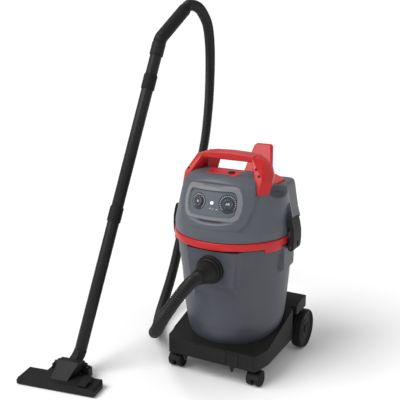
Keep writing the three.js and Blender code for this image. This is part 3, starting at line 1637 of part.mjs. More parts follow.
add("motor_shaft", disc(SHAFT_RADIUS, shaftFoot, motorTop + RUN, 16), "steel");
const fanZ = shaftFoot + RUN;
let fan = ringShape(FAN_RADIUS, SHAFT_RADIUS + FIT, fanZ, fanZ + FAN_THICKNESS, 20).add(
  ringShape(FAN_HUB_RADIUS, SHAFT_RADIUS + FIT, fanZ, fanZ + FAN_THICKNESS + FAN_BLADE_HEIGHT, 14),
);
for (let i = 0; i < FAN_BLADES; i += 1) {
  const turn = new THREE.Matrix4().makeRotationZ((2 * Math.PI * i) / FAN_BLADES);
  const blade = block(
    FAN_HUB_RADIUS - RUN,
    FAN_RADIUS - RUN,
    -FAN_THICKNESS / 4,
    FAN_THICKNESS / 4,
    fanZ + FIT,
    fanZ + FAN_THICKNESS + FAN_BLADE_HEIGHT,
  );
  fan = fan.add(placed(blade, turn));
}
add("fan_wheel", fan, "steel");
const foamBore = MOTOR_RADIUS + FIT;
const foamTop = motorTop - FOAM_THICKNESS;
const foam = ringShape(foamBore + FOAM_THICKNESS, foamBore, chamberTop + FIT, foamTop, 32);
add("exhaust_foam", foam, "foam");

// Float cage, float and folded filter under the motor plate
const hangZ = MOTOR_PLATE_Z - FIT;
let cage = ringShape(CAGE_RADIUS, CAGE_RADIUS - CAGE_WALL, CAGE_FOOT_Z, hangZ, 30).add(
  disc(CAGE_RADIUS, CAGE_FOOT_Z, CAGE_FOOT_Z + CAGE_WALL, 30),
);
for (let i = 0; i < CAGE_SLOTS; i += 1) {
  const turn = new THREE.Matrix4().makeRotationZ((2 * Math.PI * i) / CAGE_SLOTS);
  const slot = block(
    CAGE_RADIUS - CAGE_WALL * 4,
    CAGE_RADIUS + OVERCUT,
    -CAGE_SLOT_HALF,
    CAGE_SLOT_HALF,
    CAGE_FOOT_Z + OVERCUT,
    hangZ - OVERCUT,
  );
  cage = cage.subtract(placed(slot, turn));
}
add("float_cage", cage, "black");
const floatFoot = CAGE_FOOT_Z + CAGE_WALL + FIT;
add("float", disc(FLOAT_RADIUS, floatFoot, floatFoot + FLOAT_HEIGHT, 24), "natural");
const star = (outer, inner) => {
  const points = [];
  for (let i = 0; i < FILTER_FOLDS * 2; i += 1) {
    const a = (Math.PI * i) / FILTER_FOLDS;
    const r = i % 2 ? inner : outer;
    points.push([r * Math.cos(a), r * Math.sin(a)]);
  }
  return points;
};
const foldTop = hangZ - FILTER_CAP;
const foldFoot = FILTER_FOOT_Z + FILTER_CAP - FIT;
const folds = prism(star(FILTER_OUTER, FILTER_INNER + FILTER_FOLD_WALL * 2), foldFoot, foldTop + FIT)
  .subtract(
    prism(
      star(FILTER_OUTER - FILTER_FOLD_WALL * 2, FILTER_INNER + FIT),
      FILTER_FOOT_Z,
      hangZ,
    ),
  );
const filterCap = ringShape(FILTER_OUTER, FILTER_INNER, foldTop, hangZ, 36);
const filterFoot = ringShape(FILTER_OUTER, FILTER_INNER, FILTER_FOOT_Z, FILTER_FOOT_Z + FILTER_CAP, 36);
add("filter", folds.add(filterCap).add(filterFoot), "paper");

// Floor nozzle
const nozzleFrame = new THREE.Matrix4()
  .makeTranslation(...NOZZLE_CENTRE, 0)
  .multiply(new THREE.Matrix4().makeRotationZ(degrees(NOZZLE_TURN)));
const nozzleFront = -NOZZLE_DEPTH / 2;
const nozzleBack = NOZZLE_DEPTH / 2;
const soleTop = NOZZLE_LIFT + SOLE_THICKNESS;
const shellFoot = soleTop + FIT;
const nozzleEnd = NOZZLE_LENGTH / 2;
const nozzleTop = (half, inset, z) => [
  [-half + inset, nozzleFront + inset / 2, z],
  [half - inset, nozzleFront + inset / 2, z],
  [half - inset, nozzleBack - inset, z],
  [-half + inset, nozzleBack - inset, z],
];
const nozzlePlan = (half, z) => [
  [-half, nozzleFront, z],
  [half, nozzleFront, z],
  [half, nozzleBack - NOZZLE_TAPER, z],
  [half - NOZZLE_TAPER, nozzleBack, z],
  [-half + NOZZLE_TAPER, nozzleBack, z],
  [-half, nozzleBack - NOZZLE_TAPER, z],
];
const nozzleShell = hull([
  ...nozzlePlan(nozzleEnd, shellFoot),
  ...nozzlePlan(nozzleEnd, NOZZLE_FRONT_HEIGHT - NOZZLE_WALL),
  ...nozzleTop(nozzleEnd, NOZZLE_WALL * 2, NOZZLE_HEIGHT + NOZZLE_WALL),
]);
const narrowed = ([x, y, z]) => [x, y * NOZZLE_HOLLOW_SHARE, z];
const nozzleHollow = hull([
  ...nozzlePlan(nozzleEnd - NOZZLE_WALL * 2, shellFoot - OVERCUT).map(narrowed),
  ...nozzleTop(nozzleEnd, NOZZLE_WALL * 5, NOZZLE_HEIGHT - NOZZLE_WALL),
]);
const housingHull = hull([
  [-HOUSING_FOOT_HALF, HOUSING_FRONT_Y, NOZZLE_FRONT_HEIGHT],
  [HOUSING_FOOT_HALF, HOUSING_FRONT_Y, NOZZLE_FRONT_HEIGHT],
  [HOUSING_FOOT_HALF, HOUSING_FOOT_BACK_Y, NOZZLE_FRONT_HEIGHT],
  [-HOUSING_FOOT_HALF, HOUSING_FOOT_BACK_Y, NOZZLE_FRONT_HEIGHT],
  [HOUSING_TOP_X - HOUSING_TOP_HALF, HOUSING_TOP_FRONT_Y, HOUSING_TOP_Z],
  [HOUSING_TOP_X + HOUSING_TOP_HALF, HOUSING_TOP_FRONT_Y, HOUSING_TOP_Z],
  [HOUSING_TOP_X + HOUSING_TOP_HALF, HOUSING_TOP_BACK_Y, HOUSING_TOP_Z - NOZZLE_WALL],
  [HOUSING_TOP_X - HOUSING_TOP_HALF, HOUSING_TOP_BACK_Y, HOUSING_TOP_Z - NOZZLE_WALL],
  [HOUSING_TOP_X + HOUSING_TOP_HALF, HOUSING_TOP_BACK_Y, HOUSING_TOP_Z / 2],
  [HOUSING_TOP_X - HOUSING_TOP_HALF, HOUSING_TOP_BACK_Y, HOUSING_TOP_Z / 2],
]);
// Neck: a stepped hinge drum lying along the nozzle and a bent pipe up into the lower tube
const pivotPlace = new THREE.Matrix4().makeTranslation(...NECK_PIVOT);
const drumAlongX = (grow, journalGrow) => {
  const grows = [grow, grow, journalGrow];
  return NECK_DRUM.map(([half, radius], i) => {
    const end = half + grows[i];
    return disc(radius + grows[i], -end, end, 16);
  }).reduce((a, b) => a.add(b));
};
const neckDrum = placed(alongX(drumAlongX(0, 0)), pivotPlace);
const drumRoom = placed(alongX(drumAlongX(RUN, FIT)), pivotPlace);
const tubeFoot = new THREE.Vector3(...WAND_FOOT);
const pivotPoint = new THREE.Vector3(...NECK_PIVOT).applyMatrix4(nozzleFrame);
const neckLine = new THREE.QuadraticBezierCurve3(
  pivotPoint,
  tubeFoot.clone().addScaledVector(wandZ, -NECK_REACH / 2),
  tubeFoot.clone().addScaledVector(wandZ, -FIT),
);
const neckFrames = neckLine.computeFrenetFrames(NECK_STEPS, false);
const neckStations = neckFrames.tangents.map((along, i) => ({
  at: neckLine.getPointAt(i / NECK_STEPS),
  along,
  side: neckFrames.normals[i],
}));
const neckRings = (radius) => neckStations.map((station) => ringAt(station, radius, TUBE_SIDES));
const neckWall = neckRings(NECK_RADIUS);
const neckTop = neckStations[NECK_STEPS];
const spigotAt = (distance, radius) =>
  ringAt({ ...neckTop, at: neckTop.at.clone().addScaledVector(wandZ, distance) }, radius, TUBE_SIDES);
const neckSkin = [...neckWall, spigotAt(0, TUBE_SPIGOT_RADIUS), spigotAt(NECK_SPIGOT, TUBE_SPIGOT_RADIUS)];
const neckAir = [...neckRings(NECK_BORE_RADIUS), spigotAt(NECK_SPIGOT + FIT, NECK_BORE_RADIUS)];
const airPlug = solid(loft(neckAir));
const neckSolid = solid(loft(neckSkin)).add(placed(neckDrum, nozzleFrame)).subtract(airPlug);
const drumAir = placed(
  disc(NECK_BORE_RADIUS, -NECK_RADIUS * 2, 0, 16),
  pivotPlace.clone().multiply(new THREE.Matrix4().makeRotationX(degrees(-NECK_AIR_TURN))),
);
add("nozzle_neck", neckSolid.subtract(placed(drumAir, nozzleFrame)), "black");

const sweepTurns = [-1, 0, 1, 2, 3, 4];
const neckSweep = sweepTurns
  .map((turn) => {
    const swing = new THREE.Matrix4()
      .makeTranslation(...NECK_PIVOT)
      .multiply(new THREE.Matrix4().makeRotationX(degrees(turn * NECK_SWING)))
      .multiply(new THREE.Matrix4().makeTranslation(...NECK_PIVOT.map((v) => -v)));
    const skin = neckRings(NECK_RADIUS + RUN);
    const own = placed(solid(loft(skin)), nozzleFrame.clone().invert());
    return placed(own, swing);
  })
  .reduce((a, b) => a.add(b));

// Nozzle body: low shell, housing with the air way, and a cradle round the hinge drum
const cradle = block(
  -CRADLE_HALF,
  CRADLE_HALF,
  CRADLE_BACK_Y - CRADLE_WALL * 3,
  NECK_PIVOT[1],
  shellFoot,
  NOZZLE_HEIGHT,
);
const journalEars = [-1, 1]
  .map((side) => {
    const fromPivot = (x) => NECK_PIVOT[0] + side * x;
    const ends = [NECK_DRUM[1][0] + RUN + FIT, NECK_DRUM[2][0] + CRADLE_WALL].map(fromPivot);
    return block(
      Math.min(...ends),
      Math.max(...ends),
      NECK_PIVOT[1] - JOURNAL_EAR_HALF,
      NECK_PIVOT[1] + JOURNAL_EAR_HALF,
      shellFoot,
      NECK_PIVOT[2],
    );
  })
  .reduce((a, b) => a.add(b));
const pedalPlace = new THREE.Matrix4().makeTranslation(PEDAL_X, PEDAL_Y, PEDAL_Z);
const pedalPinShape = (grow, half) => {
  return placed(alongX(disc(PEDAL_PIN_RADIUS + grow, -half, half, 12)), pedalPlace);
};
const earOuter = PEDAL_HALF + FIT + PEDAL_EAR;
const ears = block(
  PEDAL_X - earOuter,
  PEDAL_X + earOuter,
  PEDAL_Y - PEDAL_PIN_RADIUS * 2,
  PEDAL_Y + PEDAL_PIN_RADIUS * 2,
  NOZZLE_HEIGHT - NOZZLE_WALL,
  PEDAL_Z + PEDAL_PIN_RADIUS * 2,
).subtract(
  block(
    PEDAL_X - PEDAL_HALF - FIT,
    PEDAL_X + PEDAL_HALF + FIT,
    PEDAL_Y - OVERCUT,
    PEDAL_Y + OVERCUT,
    NOZZLE_HEIGHT,
    PEDAL_Z + OVERCUT,
  ),
);
const nozzleBody = nozzleShell
  .add(cradle)
  .add(journalEars)
  .add(housingHull)
  .subtract(nozzleHollow)
  .subtract(drumAir)
  .subtract(drumRoom)
  .subtract(neckSweep)
  .add(ears)
  .subtract(pedalPinShape(FIT, earOuter + OVERCUT));
add("nozzle_body", placed(nozzleBody, nozzleFrame), "black");
add("pedal_pin", placed(pedalPinShape(0, earOuter), nozzleFrame), "steel");
const pedal = prismX(
  [
    [PEDAL_Y - PEDAL_FRONT, PEDAL_Z - PEDAL_THICKNESS],
    [PEDAL_Y, PEDAL_Z - PEDAL_THICKNESS],
    [PEDAL_Y + PEDAL_BACK, PEDAL_Z],
    [PEDAL_Y + PEDAL_BACK, PEDAL_Z + PEDAL_THICKNESS],
    [PEDAL_Y, PEDAL_Z + PEDAL_THICKNESS],
    [PEDAL_Y - PEDAL_FRONT, PEDAL_Z],
  ],
  PEDAL_X - PEDAL_HALF,
  PEDAL_X + PEDAL_HALF,
).subtract(pedalPinShape(FIT, earOuter));
add("nozzle_pedal", placed(pedal, nozzleFrame), "black");

// Sole plate with its suction slot, and the two brush strips that slide in it
const solePlan = nozzlePlan(nozzleEnd - FIT, 0).map(([x, y]) => [x, y]);
const brushYs = [nozzleFront + BRUSH_INSET, nozzleBack - BRUSH_INSET * 2];
let sole = prism(solePlan, NOZZLE_LIFT, soleTop).subtract(
  block(-SOLE_SLOT_HALF, SOLE_SLOT_HALF, -SOLE_SLOT_DEPTH, SOLE_SLOT_DEPTH, 0, soleTop + OVERCUT),
);
brushYs.forEach((y, i) => {
  const room = block(-BRUSH_HALF, BRUSH_HALF, y - FIT, y + BRUSH_WIDTH + FIT, 0, soleTop + OVERCUT);
  sole = sole.subtract(room);
  const brush = block(-BRUSH_HALF + FIT, BRUSH_HALF - FIT, y, y + BRUSH_WIDTH, 0, soleTop + FIT);
  add(["brush_front", "brush_rear"][i], placed(brush, nozzleFrame), "natural");
});
add("nozzle_sole", placed(sole, nozzleFrame), "black");

frame.position.set(-BOX_MIDDLE[0], -BOX_MIDDLE[1], 0);

export default part;
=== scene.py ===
"""A wet and dry shop vacuum in Blender: moulded skins, hose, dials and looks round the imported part.

Tables below are in millimetres in the tank's frame: the floor at z = 0, the axis of the rim at
x = y = 0 and the front facing -Y. placed() moves points from there to the part's frame, in metres.
"""

import json
import math

import bmesh
import bpy
import numpy as np
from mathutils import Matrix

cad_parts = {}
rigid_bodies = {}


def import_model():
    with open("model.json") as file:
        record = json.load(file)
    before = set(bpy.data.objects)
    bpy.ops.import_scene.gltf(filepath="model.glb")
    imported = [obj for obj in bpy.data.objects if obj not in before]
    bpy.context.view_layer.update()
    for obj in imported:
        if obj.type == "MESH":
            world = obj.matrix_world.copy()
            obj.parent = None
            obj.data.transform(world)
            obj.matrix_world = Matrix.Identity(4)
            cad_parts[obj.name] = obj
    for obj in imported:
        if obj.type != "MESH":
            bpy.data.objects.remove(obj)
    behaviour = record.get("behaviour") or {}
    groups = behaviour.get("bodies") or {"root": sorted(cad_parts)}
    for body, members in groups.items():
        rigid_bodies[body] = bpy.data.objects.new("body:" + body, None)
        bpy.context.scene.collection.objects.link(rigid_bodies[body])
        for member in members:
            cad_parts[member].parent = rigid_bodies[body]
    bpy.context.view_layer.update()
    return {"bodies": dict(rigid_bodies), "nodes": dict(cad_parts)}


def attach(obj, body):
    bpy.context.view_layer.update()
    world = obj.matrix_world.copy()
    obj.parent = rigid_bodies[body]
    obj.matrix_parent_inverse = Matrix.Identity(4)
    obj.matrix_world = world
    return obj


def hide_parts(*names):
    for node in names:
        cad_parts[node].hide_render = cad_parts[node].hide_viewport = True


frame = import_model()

bl_info = {
    "name": "Shop vacuum",
    "version": (1, 0, 0),
    "blender": (4, 5, 0),
    "location": "View3D > Sidebar > Vacuum",
    "description": "Builds the looks of a wet and dry shop vacuum round its packed part",
    "category": "Object",
}

MM = 0.001
AXIS = np.array([168.75, 112.05, 0.0])  # the rim's axis, from the middle of the part's box
FIT = 0.3  # gap between pieces that touch
RUN = 1.5  # gap round a piece that turns
CORE = 0.3  # least radius of a turned outline, closed by one point in its middle

# Tank
TANK_FOOT_Z = 96
TANK_RIM_Z = 464
TANK_RIM_RADIUS = 194.5
TANK_RIM_WIDTH = 9
TANK_WALL = 4
TANK_LEAN = ([340, 464], [18, 6.5])  # heights, and how far the axis lies back there
TANK_RADII = [
    # [radius, height] of the outer face
    [118, 96], [138, 101], [152, 113], [161, 133], [167, 163], [173, 200], [182.4, 310],
    [187, 368],
]
RIM = [[194.5, 464]]
INLET_X = 6
INLET_Z = 400
INLET_PAD_Y = -188
INLET_PAD = ([350, 460], [76, 90])  # heights, and half width there
PAD_FADE = 0.7  # how steeply the pad runs back into the drum under its foot
LATCH_PAD = [197, 10, 46, 375]  # face x, middle y, half width, foot z

# Hose, and the socket that it leaves
HOSE_ROUTE = [
    # middle line from the cuff to the hand grip
    [2, -366, 384], [-38, -403, 315], [-86, -371, 246], [-133, -307, 200], [-177, -236, 161],
    [-220, -165, 121], [-262, -93, 82], [-305, -21, 44], [-349, 60, 20.2], [-387, 140, 28],
    [-414, 222, 58], [-432, 299, 106], [-447, 368, 165], [-459, 428, 234], [-464, 482, 307],
    [-462, 530, 386], [-457, 571, 468], [-449, 603, 554], [-441, 626, 642], [-434, 636, 733],
    [-425, 634, 825], [-413, 618, 914], [-396, 587, 999], [-375, 540, 1075], [-352, 477, 1138],
    [-334, 407, 1179], [-320, 342, 1204], [-315, 290, 1213],
]
HOSE_EXIT = [6, -276.3, 400]
HOSE_NEAR_RUN = 40.8  # straight out of the cuff
RIB_STEPS = 6  # rings of points along one rib
HOSE_FAR_RUN = 18  # straight into the grip
HOSE_SIDES = 20
HOSE_BORE = 16
SOCKET_PROFILE = [
    # [radius, distance in front of the pad]
    [25, -26], [29, -26], [29, -0.3], [45.5, -0.3], [47, 1.5], [47, 9], [45, 12], [25, 12],
]
CUFF_PROFILE = [
    # [radius, distance in front of the pad]
    [16, -11.5], [24.7, -11.5], [24.7, 12.3], [41, 12.3], [41.4, 15], [41.4, 19], [40.4, 21],
    [37.6, 22.2], [37.9, 28], [37, 36], [36.4, 38.5], [34.4, 44], [31.6, 52], [28.6, 60],
    [27.2, 64], [26.8, 69], [24.9, 71], [24.6, 76], [23.6, 79], [23.6, 87.7], [16, 87.7],
]
CUFF_START = 188.3

# Wand, measured along its axis from the foot of the lower tube
WAND_FOOT = [-414.6, -333.5, 82.3]
WAND_LEAN = 23.2
WAND_HEADING = 80.2
TUBE_RADIUS = 20.8
TUBE_WALL = 1.8
TUBE_LENGTH = 497
TUBE_NECK = 22
TUBE_NECK_RADIUS = 17.3
SLEEVE_RADIUS = 24.4
SLEEVE_LENGTH = 54
SLEEVE_RIDGES = 9
SLEEVE_RIDGE = 1.0  # depth
SLEEVE_END_DROP = 1.2  # how much thinner its ends are
HAND_START = 950.9
HAND_STRAIGHT = 144
HAND_BEND = 31.4
HAND_BEND_RADIUS = 50
HAND_UPPER = 145
AIR_RING = [97, 143, 24.2]  # from, to, radius
GRIP_LENGTH = 186
GRIP_RADIUS = 23.2
GRIP_STEPS = 10
GRIP_RIDGE_PITCH = 3.7
GRIP_RIDGE = 0.22
GRIP_STEP = 1.1
GRIP_END_DROP = 1.4

# Head
BAND_RADIUS = 201.5
BAND_BORE = 178
BAND_Z = 469
BAND_TOP_Z = 492
BAND_LUG_DEPTH = 12
BAND_LUG_WALL = 5
BAND_LUG = [144, 166]  # degrees from +X round the front
BAND_LUG_RUN = 2.2  # degrees that its ends take to slope down
LATCH_WAY_X = 198.4
LATCH_WAY_HALF = 35
LATCH_WAY_TOP = 560
SHELL_FOOT_Z = 494.5
SHELL_WALL = 4
DOME_PROFILE = [
    # [radius, height] of the outer face
    [198, 494.5], [199, 512], [197.5, 529], [189, 569], [182.5, 600], [176, 629], [171, 648],
    [162, 672], [149, 689], [132, 696], [112, 698],
]
KEY_WELL = [28, -84, 17, 684]  # hollow under the cleaning key: x, y, radius, floor z
TOP_LINE = ([-32, 70, 71], [698, 638, 630])  # y, and the height of the roof there
BLOCK_SECTIONS = [
    # [height, half width, back y]
    [494.5, 156, 240], [530, 148, 235], [602, 139, 227], [618, 137, 224], [630, 133, 220],
]
BLOCK_FRONT_Y = 40
BLOCK_CORNER = 26
BLOCK_TOP_Z = 630
SHOULDER = [106, -50, 638]  # cut away outside this x, behind this y and over this z
POCKET = [174, -9, 48, 500, 588]  # over each latch: floor x, front and back y, foot and top z
POCKET_LEAN = 0.24  # how far its front edge comes forward per mm of height
POCKET_SPLAY = 0.2  # and per mm outwards
SCOOP_CENTRE = [151, -2, 650]
SCOOP_RADII = [44, 72, 38]
HEAD_EYE_Z = 560  # rays of the head's upper skin start here
INNER_EYE_Z = 600  # and those of its inside here
HEAD_SEARCH = (330, 20, 60)  # where its rays are searched from and to, and in how many steps
TANK_SEARCH = (260, 60)
TANK_EYE_Z = 135
POLE_TILT = 88.5  # of the last ring of rays round a pole, in degrees
SURROUND = ([530, 546, 564, 611, 639, 690], [84, 104, 114, 125, 126, 118])  # heights, half width
SURROUND_PROUD = 6.5
PANEL_OUTLINE = [
    # [x, z] of the right half from top to foot
    [62, 657], [73, 653], [80, 643], [84, 622], [84, 600], [80, 582], [68, 574],
]
BEZEL_OUTLINE = [[76, 670], [87, 665], [96, 648], [101, 622], [100, 596], [93, 574], [76, 562]]
BEZEL_PROUD = 6.5
BEZEL_Y = -60  # all of it lies in front of this
RELIEF_Y = -40  # the face's relief begins in front of this
RELIEF_FADE = 40
CRESCENT = [88, 17, 666, 566]  # half length, width, foot of the upper one, top of the lower one
PANEL_DEPTH = 3
PANEL_PROUD = 1
PANEL_SHRINK = 0.997  # keeps the insert clear of its recess
DIAL_Z = 618
DIAL_XS = {"dial_left": -43, "dial_right": 57}
DIAL_HEIGHT = 5
DIAL_FLUTES = 36
FLUTE_DEPTH = 0.35
TICK_SWEEP = 140  # degrees to each side of the top
SCALE_SWEEP = 135
MARK_HEIGHT = 0.3
MARK_REACH = 180  # radius that a mark's height grows on, in place of the dome's own
DIAL_SCALE_RADII = {"dial_left": 25.5, "dial_right": 28.5}
# screw heads, black as painted shade for the holes in the handle's legs
SCREWS = [
    # [x, y, z] on the handle's legs, [x, y, z] out of the face there
    ([125.8, -90.3, 697.5], [0.083, -0.837, 0.541]),
    ([111.1, -79.6, 716.3], [0.083, -0.837, 0.541]),
    ([-126.6, -88.6, 700.0], [-0.083, -0.837, 0.541]),
]
SCREW_RADIUS = 4.5
LAMP_X = 7
LAMP_RADIUS = 6
PANEL_MARKS = [[-6, -17, 0.3], [3, -19, -0.3], [17, -19, 0.3]]  # side, up, turn in radians

# Trolley front
TROLLEY_DETAILS = [
    # name, [left x, right x, face y, foot z, top z, how far proud], finish
    ("trolley_block", (61.5, 103, -174.6, 68, 113, 2.6), "black"),
    # the vent is a darker rubber bar: painted shade standing in for the dark of its opening
    ("trolley_vent", (72, 92, -177.0, 100, 106, 0.8), "rubber"),
    ("trolley_corner_plate", (106, 156, -174.6, 72, 118, 1.2), "black"),
]

# Rear wheels
WHEEL_RADIUS = 70.7
WHEEL_INNER_X = 162
AXLE_Y = 211
HUB_PROFILE = [
    # [radius, distance out from the wheel's inner face]
    [6.3, 0], [61.7, 0], [61.7, 33], [60, 35], [56, 35.4], [53, 33], [50, 31.2], [40, 30.8],
    [37, 32], [34, 34.2], [27, 34.4], [24, 32.6], [21, 31.4], [6.3, 31.4],
]
TYRE_PROFILE = [
    [62, 0.5], [66.4, 0], [69, 2.5], [70.7, 7], [70.7, 12], [69.5, 12.8], [69.5, 14.2],
    [70.7, 15], [70.7, 23], [69.5, 23.8], [69.5, 25.2], [70.7, 26], [70.7, 31], [69, 35.5],
    [66.4, 38], [64.6, 37.4], [62, 37],
]
CAP_PROFILE = [[0, 32.3], [15, 32.3], [15, 34], [13.6, 35.6], [10.5, 36.6], [9, 36], [0, 36]]

# Casters
CASTER_X = 147
CASTER_Y = -135
CASTER_RADIUS = 25
CASTER_PROFILE = [
    # [radius, distance out from the middle] of one half of the twin wheel
    [4, 0], [4, 5], [23.5, 5], [25, 6.6], [25, 21], [24.2, 23.4], [22, 25], [20.5, 24.2],
    [19, 22.6], [9, 22], [7.5, 23.4], [4.5, 24], [0, 24],
]

# Camera, floor and light, in metres and watts
CAMERA_PLACE = [1.18625, -2.04895, 1.2339]
CAMERA_TURN = [74.76, 0.0, 28.0]
CAMERA_LENS = 66.24
SENSOR = 36.0
FLOOR_HALF = 1500.0
KEY_FROM = (-1.0, -1.35, 2.0)
KEY_STRENGTH = 2.7
KEY_SPREAD = 42.0  # degrees across the sky
SIDE_PLACE = (2.4, -0.8, 2.3)
SIDE_AIM = (0.15, 0.0, 0.5)
SIDE_SIZE = 1.2
SIDE_WATTS = 9.0
WORLD_LIGHT = 0.46
WORLD_SEEN = 0.97  # what the camera sees past the floor
FLOOR_GLOW = 0.035  # added to the floor where the camera sees it

look = {}


def metres(name, description, default):
    """A length property, in metres."""
    return bpy.props.FloatProperty(
        name=name, description=description, default=default, unit="LENGTH"
    )


class VacuumSizes(bpy.types.PropertyGroup):
    """Sizes that a user would change, in metres."""

    hose_diameter: metres("Hose diameter", "Across the ribs of the hose", 0.0408)
    hose_rib_pitch: metres("Hose rib pitch", "From one rib to the next", 0.0068)
    hose_rib_depth: metres("Hose rib depth", "From a rib's top to the valley", 0.0026)
    edge_round: metres("Edge rounding", "Radius on the edges of moulded pieces", 0.0016)
    dial_radius: metres("Dial radius", "Radius of each control dial", 0.017)
    dial_ticks: bpy.props.IntProperty(
        name="Dial ticks", description="Marks on the face of each dial", default=11, min=4, max=24
    )
    panel_groove: metres("Panel groove", "Depth of the crescents over and under the panel", 0.008)


def colour(name, description, default):
    """A colour property, linear red, green and blue."""
    return bpy.props.FloatVectorProperty(
        name=name, description=description, default=default, subtype="COLOR", size=3, min=0, max=1
    )


class VacuumColours(bpy.types.PropertyGroup):
    """Colours of the plastics and the other materials, linear."""

    # head grey and drum grey are one plastic: the head's lighter grey is painted light on its
    # upward-facing dome, the drum's darker grey is painted shade
    grey: colour("Head grey", "Motor head", (0.076, 0.082, 0.101))
    drum_grey: colour("Drum grey", "Drum and its brackets", (0.051, 0.055, 0.071))
    # bezel: a lighter copy of the head's grey, painted sheen for the light that the raised frame
    # round the panel catches
    bezel: colour("Bezel", "Frame round the panel", (0.178, 0.181, 0.190))
    red: colour("Red", "Band, handle and plates", (0.50, 0.012, 0.015))
    black: colour("Black", "Trolley, nozzle and tubes", (0.0100, 0.0100, 0.0105))
    rubber: colour("Rubber", "Tyres, grips and seals", (0.006, 0.006, 0.0065))
    panel: colour("Panel", "Insert round the dials", (0.104, 0.127, 0.143))
    dial: colour("Dial", "Faces of the dials", (0.030, 0.040, 0.048))
    ink: colour("Marks", "Ticks on the dials", (0.80, 0.80, 0.80))
    warn: colour("Red mark", "Pointer on each dial", (0.62, 0.03, 0.03))
    lens: colour("Lens", "Indicator lamp", (0.85, 0.88, 0.86))
    steel: colour("Steel", "Axle, pins and shaft", (0.55, 0.55, 0.56))
    paper: colour("Paper", "Filter folds", (0.72, 0.66, 0.52))
    foam: colour("Foam", "Exhaust foam", (0.05, 0.05, 0.055))
    natural: colour("Natural plastic", "Motor housing and float", (0.62, 0.61, 0.57))
    floor: colour("Floor", "Studio floor", (0.925, 0.925, 0.925))


class Socket:
    """A node's output; arithmetic on it adds Math nodes to the material."""

    def __init__(self, tree, output):
        self.tree = tree
        self.output = output

    def math(self, operation, *values):
        return self.tree.node("ShaderNodeMath", {"operation": operation}, dict(enumerate(values)))

    def __add__(self, other):
        return self.math("ADD", self, other)

    __radd__ = __add__

    def __sub__(self, other):
        return self.math("SUBTRACT", self, other)

    def __mul__(self, other):
        return self.math("MULTIPLY", self, other)

    def over(self, low, high):
        """0 below low, 1 above high and smooth between them."""
        values = {"Value": self, "From Min": low, "From Max": high, "To Min": 0.0, "To Max": 1.0}
        settings = {"interpolation_type": "SMOOTHSTEP"}
        return self.tree.node("ShaderNodeMapRange", settings, values)


class Tree:
    """The node tree of a new material."""

    def __init__(self, name):
        self.material = bpy.data.materials.new(name)
        self.material.use_nodes = True
        self.nodes = self.material.node_tree.nodes
        self.links = self.material.node_tree.links
        self.nodes.clear()

    def node(self, kind, settings, values, output=0):
        """A node with its settings made first, then its sockets' values or links."""
        made = self.nodes.new(kind)
        for key, value in settings.items():
            setattr(made, key, value)
        for key, value in values.items():
            if isinstance(value, Socket):
                self.links.new(value.output, made.inputs[key])
            else:
                made.inputs[key].default_value = value
        return Socket(self, made.outputs[output])

    def place(self):
        """Where the shaded point lies, in metres."""
        return self.node("ShaderNodeTexCoord", {}, {}, "Object")

    def noise(self, scale, detail, roughness=0.55, vector=None):
        """Cloudy noise, scale clouds to a metre."""
        values = {"Scale": scale, "Detail": detail, "Roughness": roughness}
        values["Vector"] = vector or self.place()
        return self.node("ShaderNodeTexNoise", {}, values)

    def cells(self, scale, vector):
        """Distance to the nearest of scattered points, scale of them to a metre."""
        values = {"Vector": vector, "Scale": scale}
        return self.node("ShaderNodeTexVoronoi", {"feature": "F1"}, values, "Distance")

    def mix(self, factor, a, b):
        """Colour a where factor is 0 and b where it is 1."""
        values = {0: factor, 6: a, 7: b}
        return self.node("ShaderNodeMix", {"data_type": "RGBA"}, values, 2)

    def bump(self, height, distance, strength=1.0):
        """A normal that follows a height of 0 to 1, distance metres deep."""
        values = {"Height": height, "Distance": distance, "Strength": strength}
        return self.node("ShaderNodeBump", {}, values)

    def finish(self, **values):
        """Closes the tree with a Principled shader; a name's underscores stand for spaces."""
        values = {key.replace("_", " "): value for key, value in values.items()}
        shader = self.node("ShaderNodeBsdfPrincipled", {}, values)
        end = self.nodes.new("ShaderNodeOutputMaterial")
        self.links.new(shader.output, end.inputs["Surface"])
        return self.material


def rgba(rgb, gain=1.0):
    """Four numbers from a linear colour, made lighter or darker by gain."""
    return (*(min(c * gain, 1.0) for c in rgb), 1.0)


def moulded(name, rgb, roughness, grain, grain_scale, mottle, wear, shine=0.5, ribbed=False):
    """Moulded plastic: fine spark-eroded grain, slight flow mottling and faint handling marks.

    A ribbed piece holds how deep each point lies as its valley attribute: painted shade darkens its
    valleys and a faint painted highlight lightens its crests.
    """
    tree = Tree(name)
    place = tree.place()
    flow = tree.noise(9, 3, 0.6, place)
    fine = tree.noise(grain_scale, 2, 0.6, place)
    cells = tree.cells(grain_scale * 0.6, place)
    marks = tree.noise(55, 6, 0.75, place).over(0.60, 0.74)
    base = tree.mix(flow.over(0.3, 0.7), rgba(rgb, 1 - mottle), rgba(rgb, 1 + mottle))
    base = tree.mix(marks * wear, base, rgba([c + 0.12 for c in rgb], 1.5))
    if ribbed:
        # valleys darkened as painted shade, crests lightened as a faint painted highlight
        valley = tree.node("ShaderNodeAttribute", {"attribute_name": "valley"}, {}, "Fac")
        crest_highlight = tree.mix(0.6, base, rgba([c + 0.012 for c in rgb]))
        base = tree.mix(valley, crest_highlight, rgba(rgb, 0.15))
    rough = roughness + (flow - 0.5) * 0.12 + (fine - 0.5) * 0.10 + marks * 0.06
    height = fine * 0.5 + cells * 0.5
    return tree.finish(
        Base_Color=base,
        Roughness=rough,
        Specular_IOR_Level=shine,
        Normal=tree.bump(height, grain, 0.6),
    )


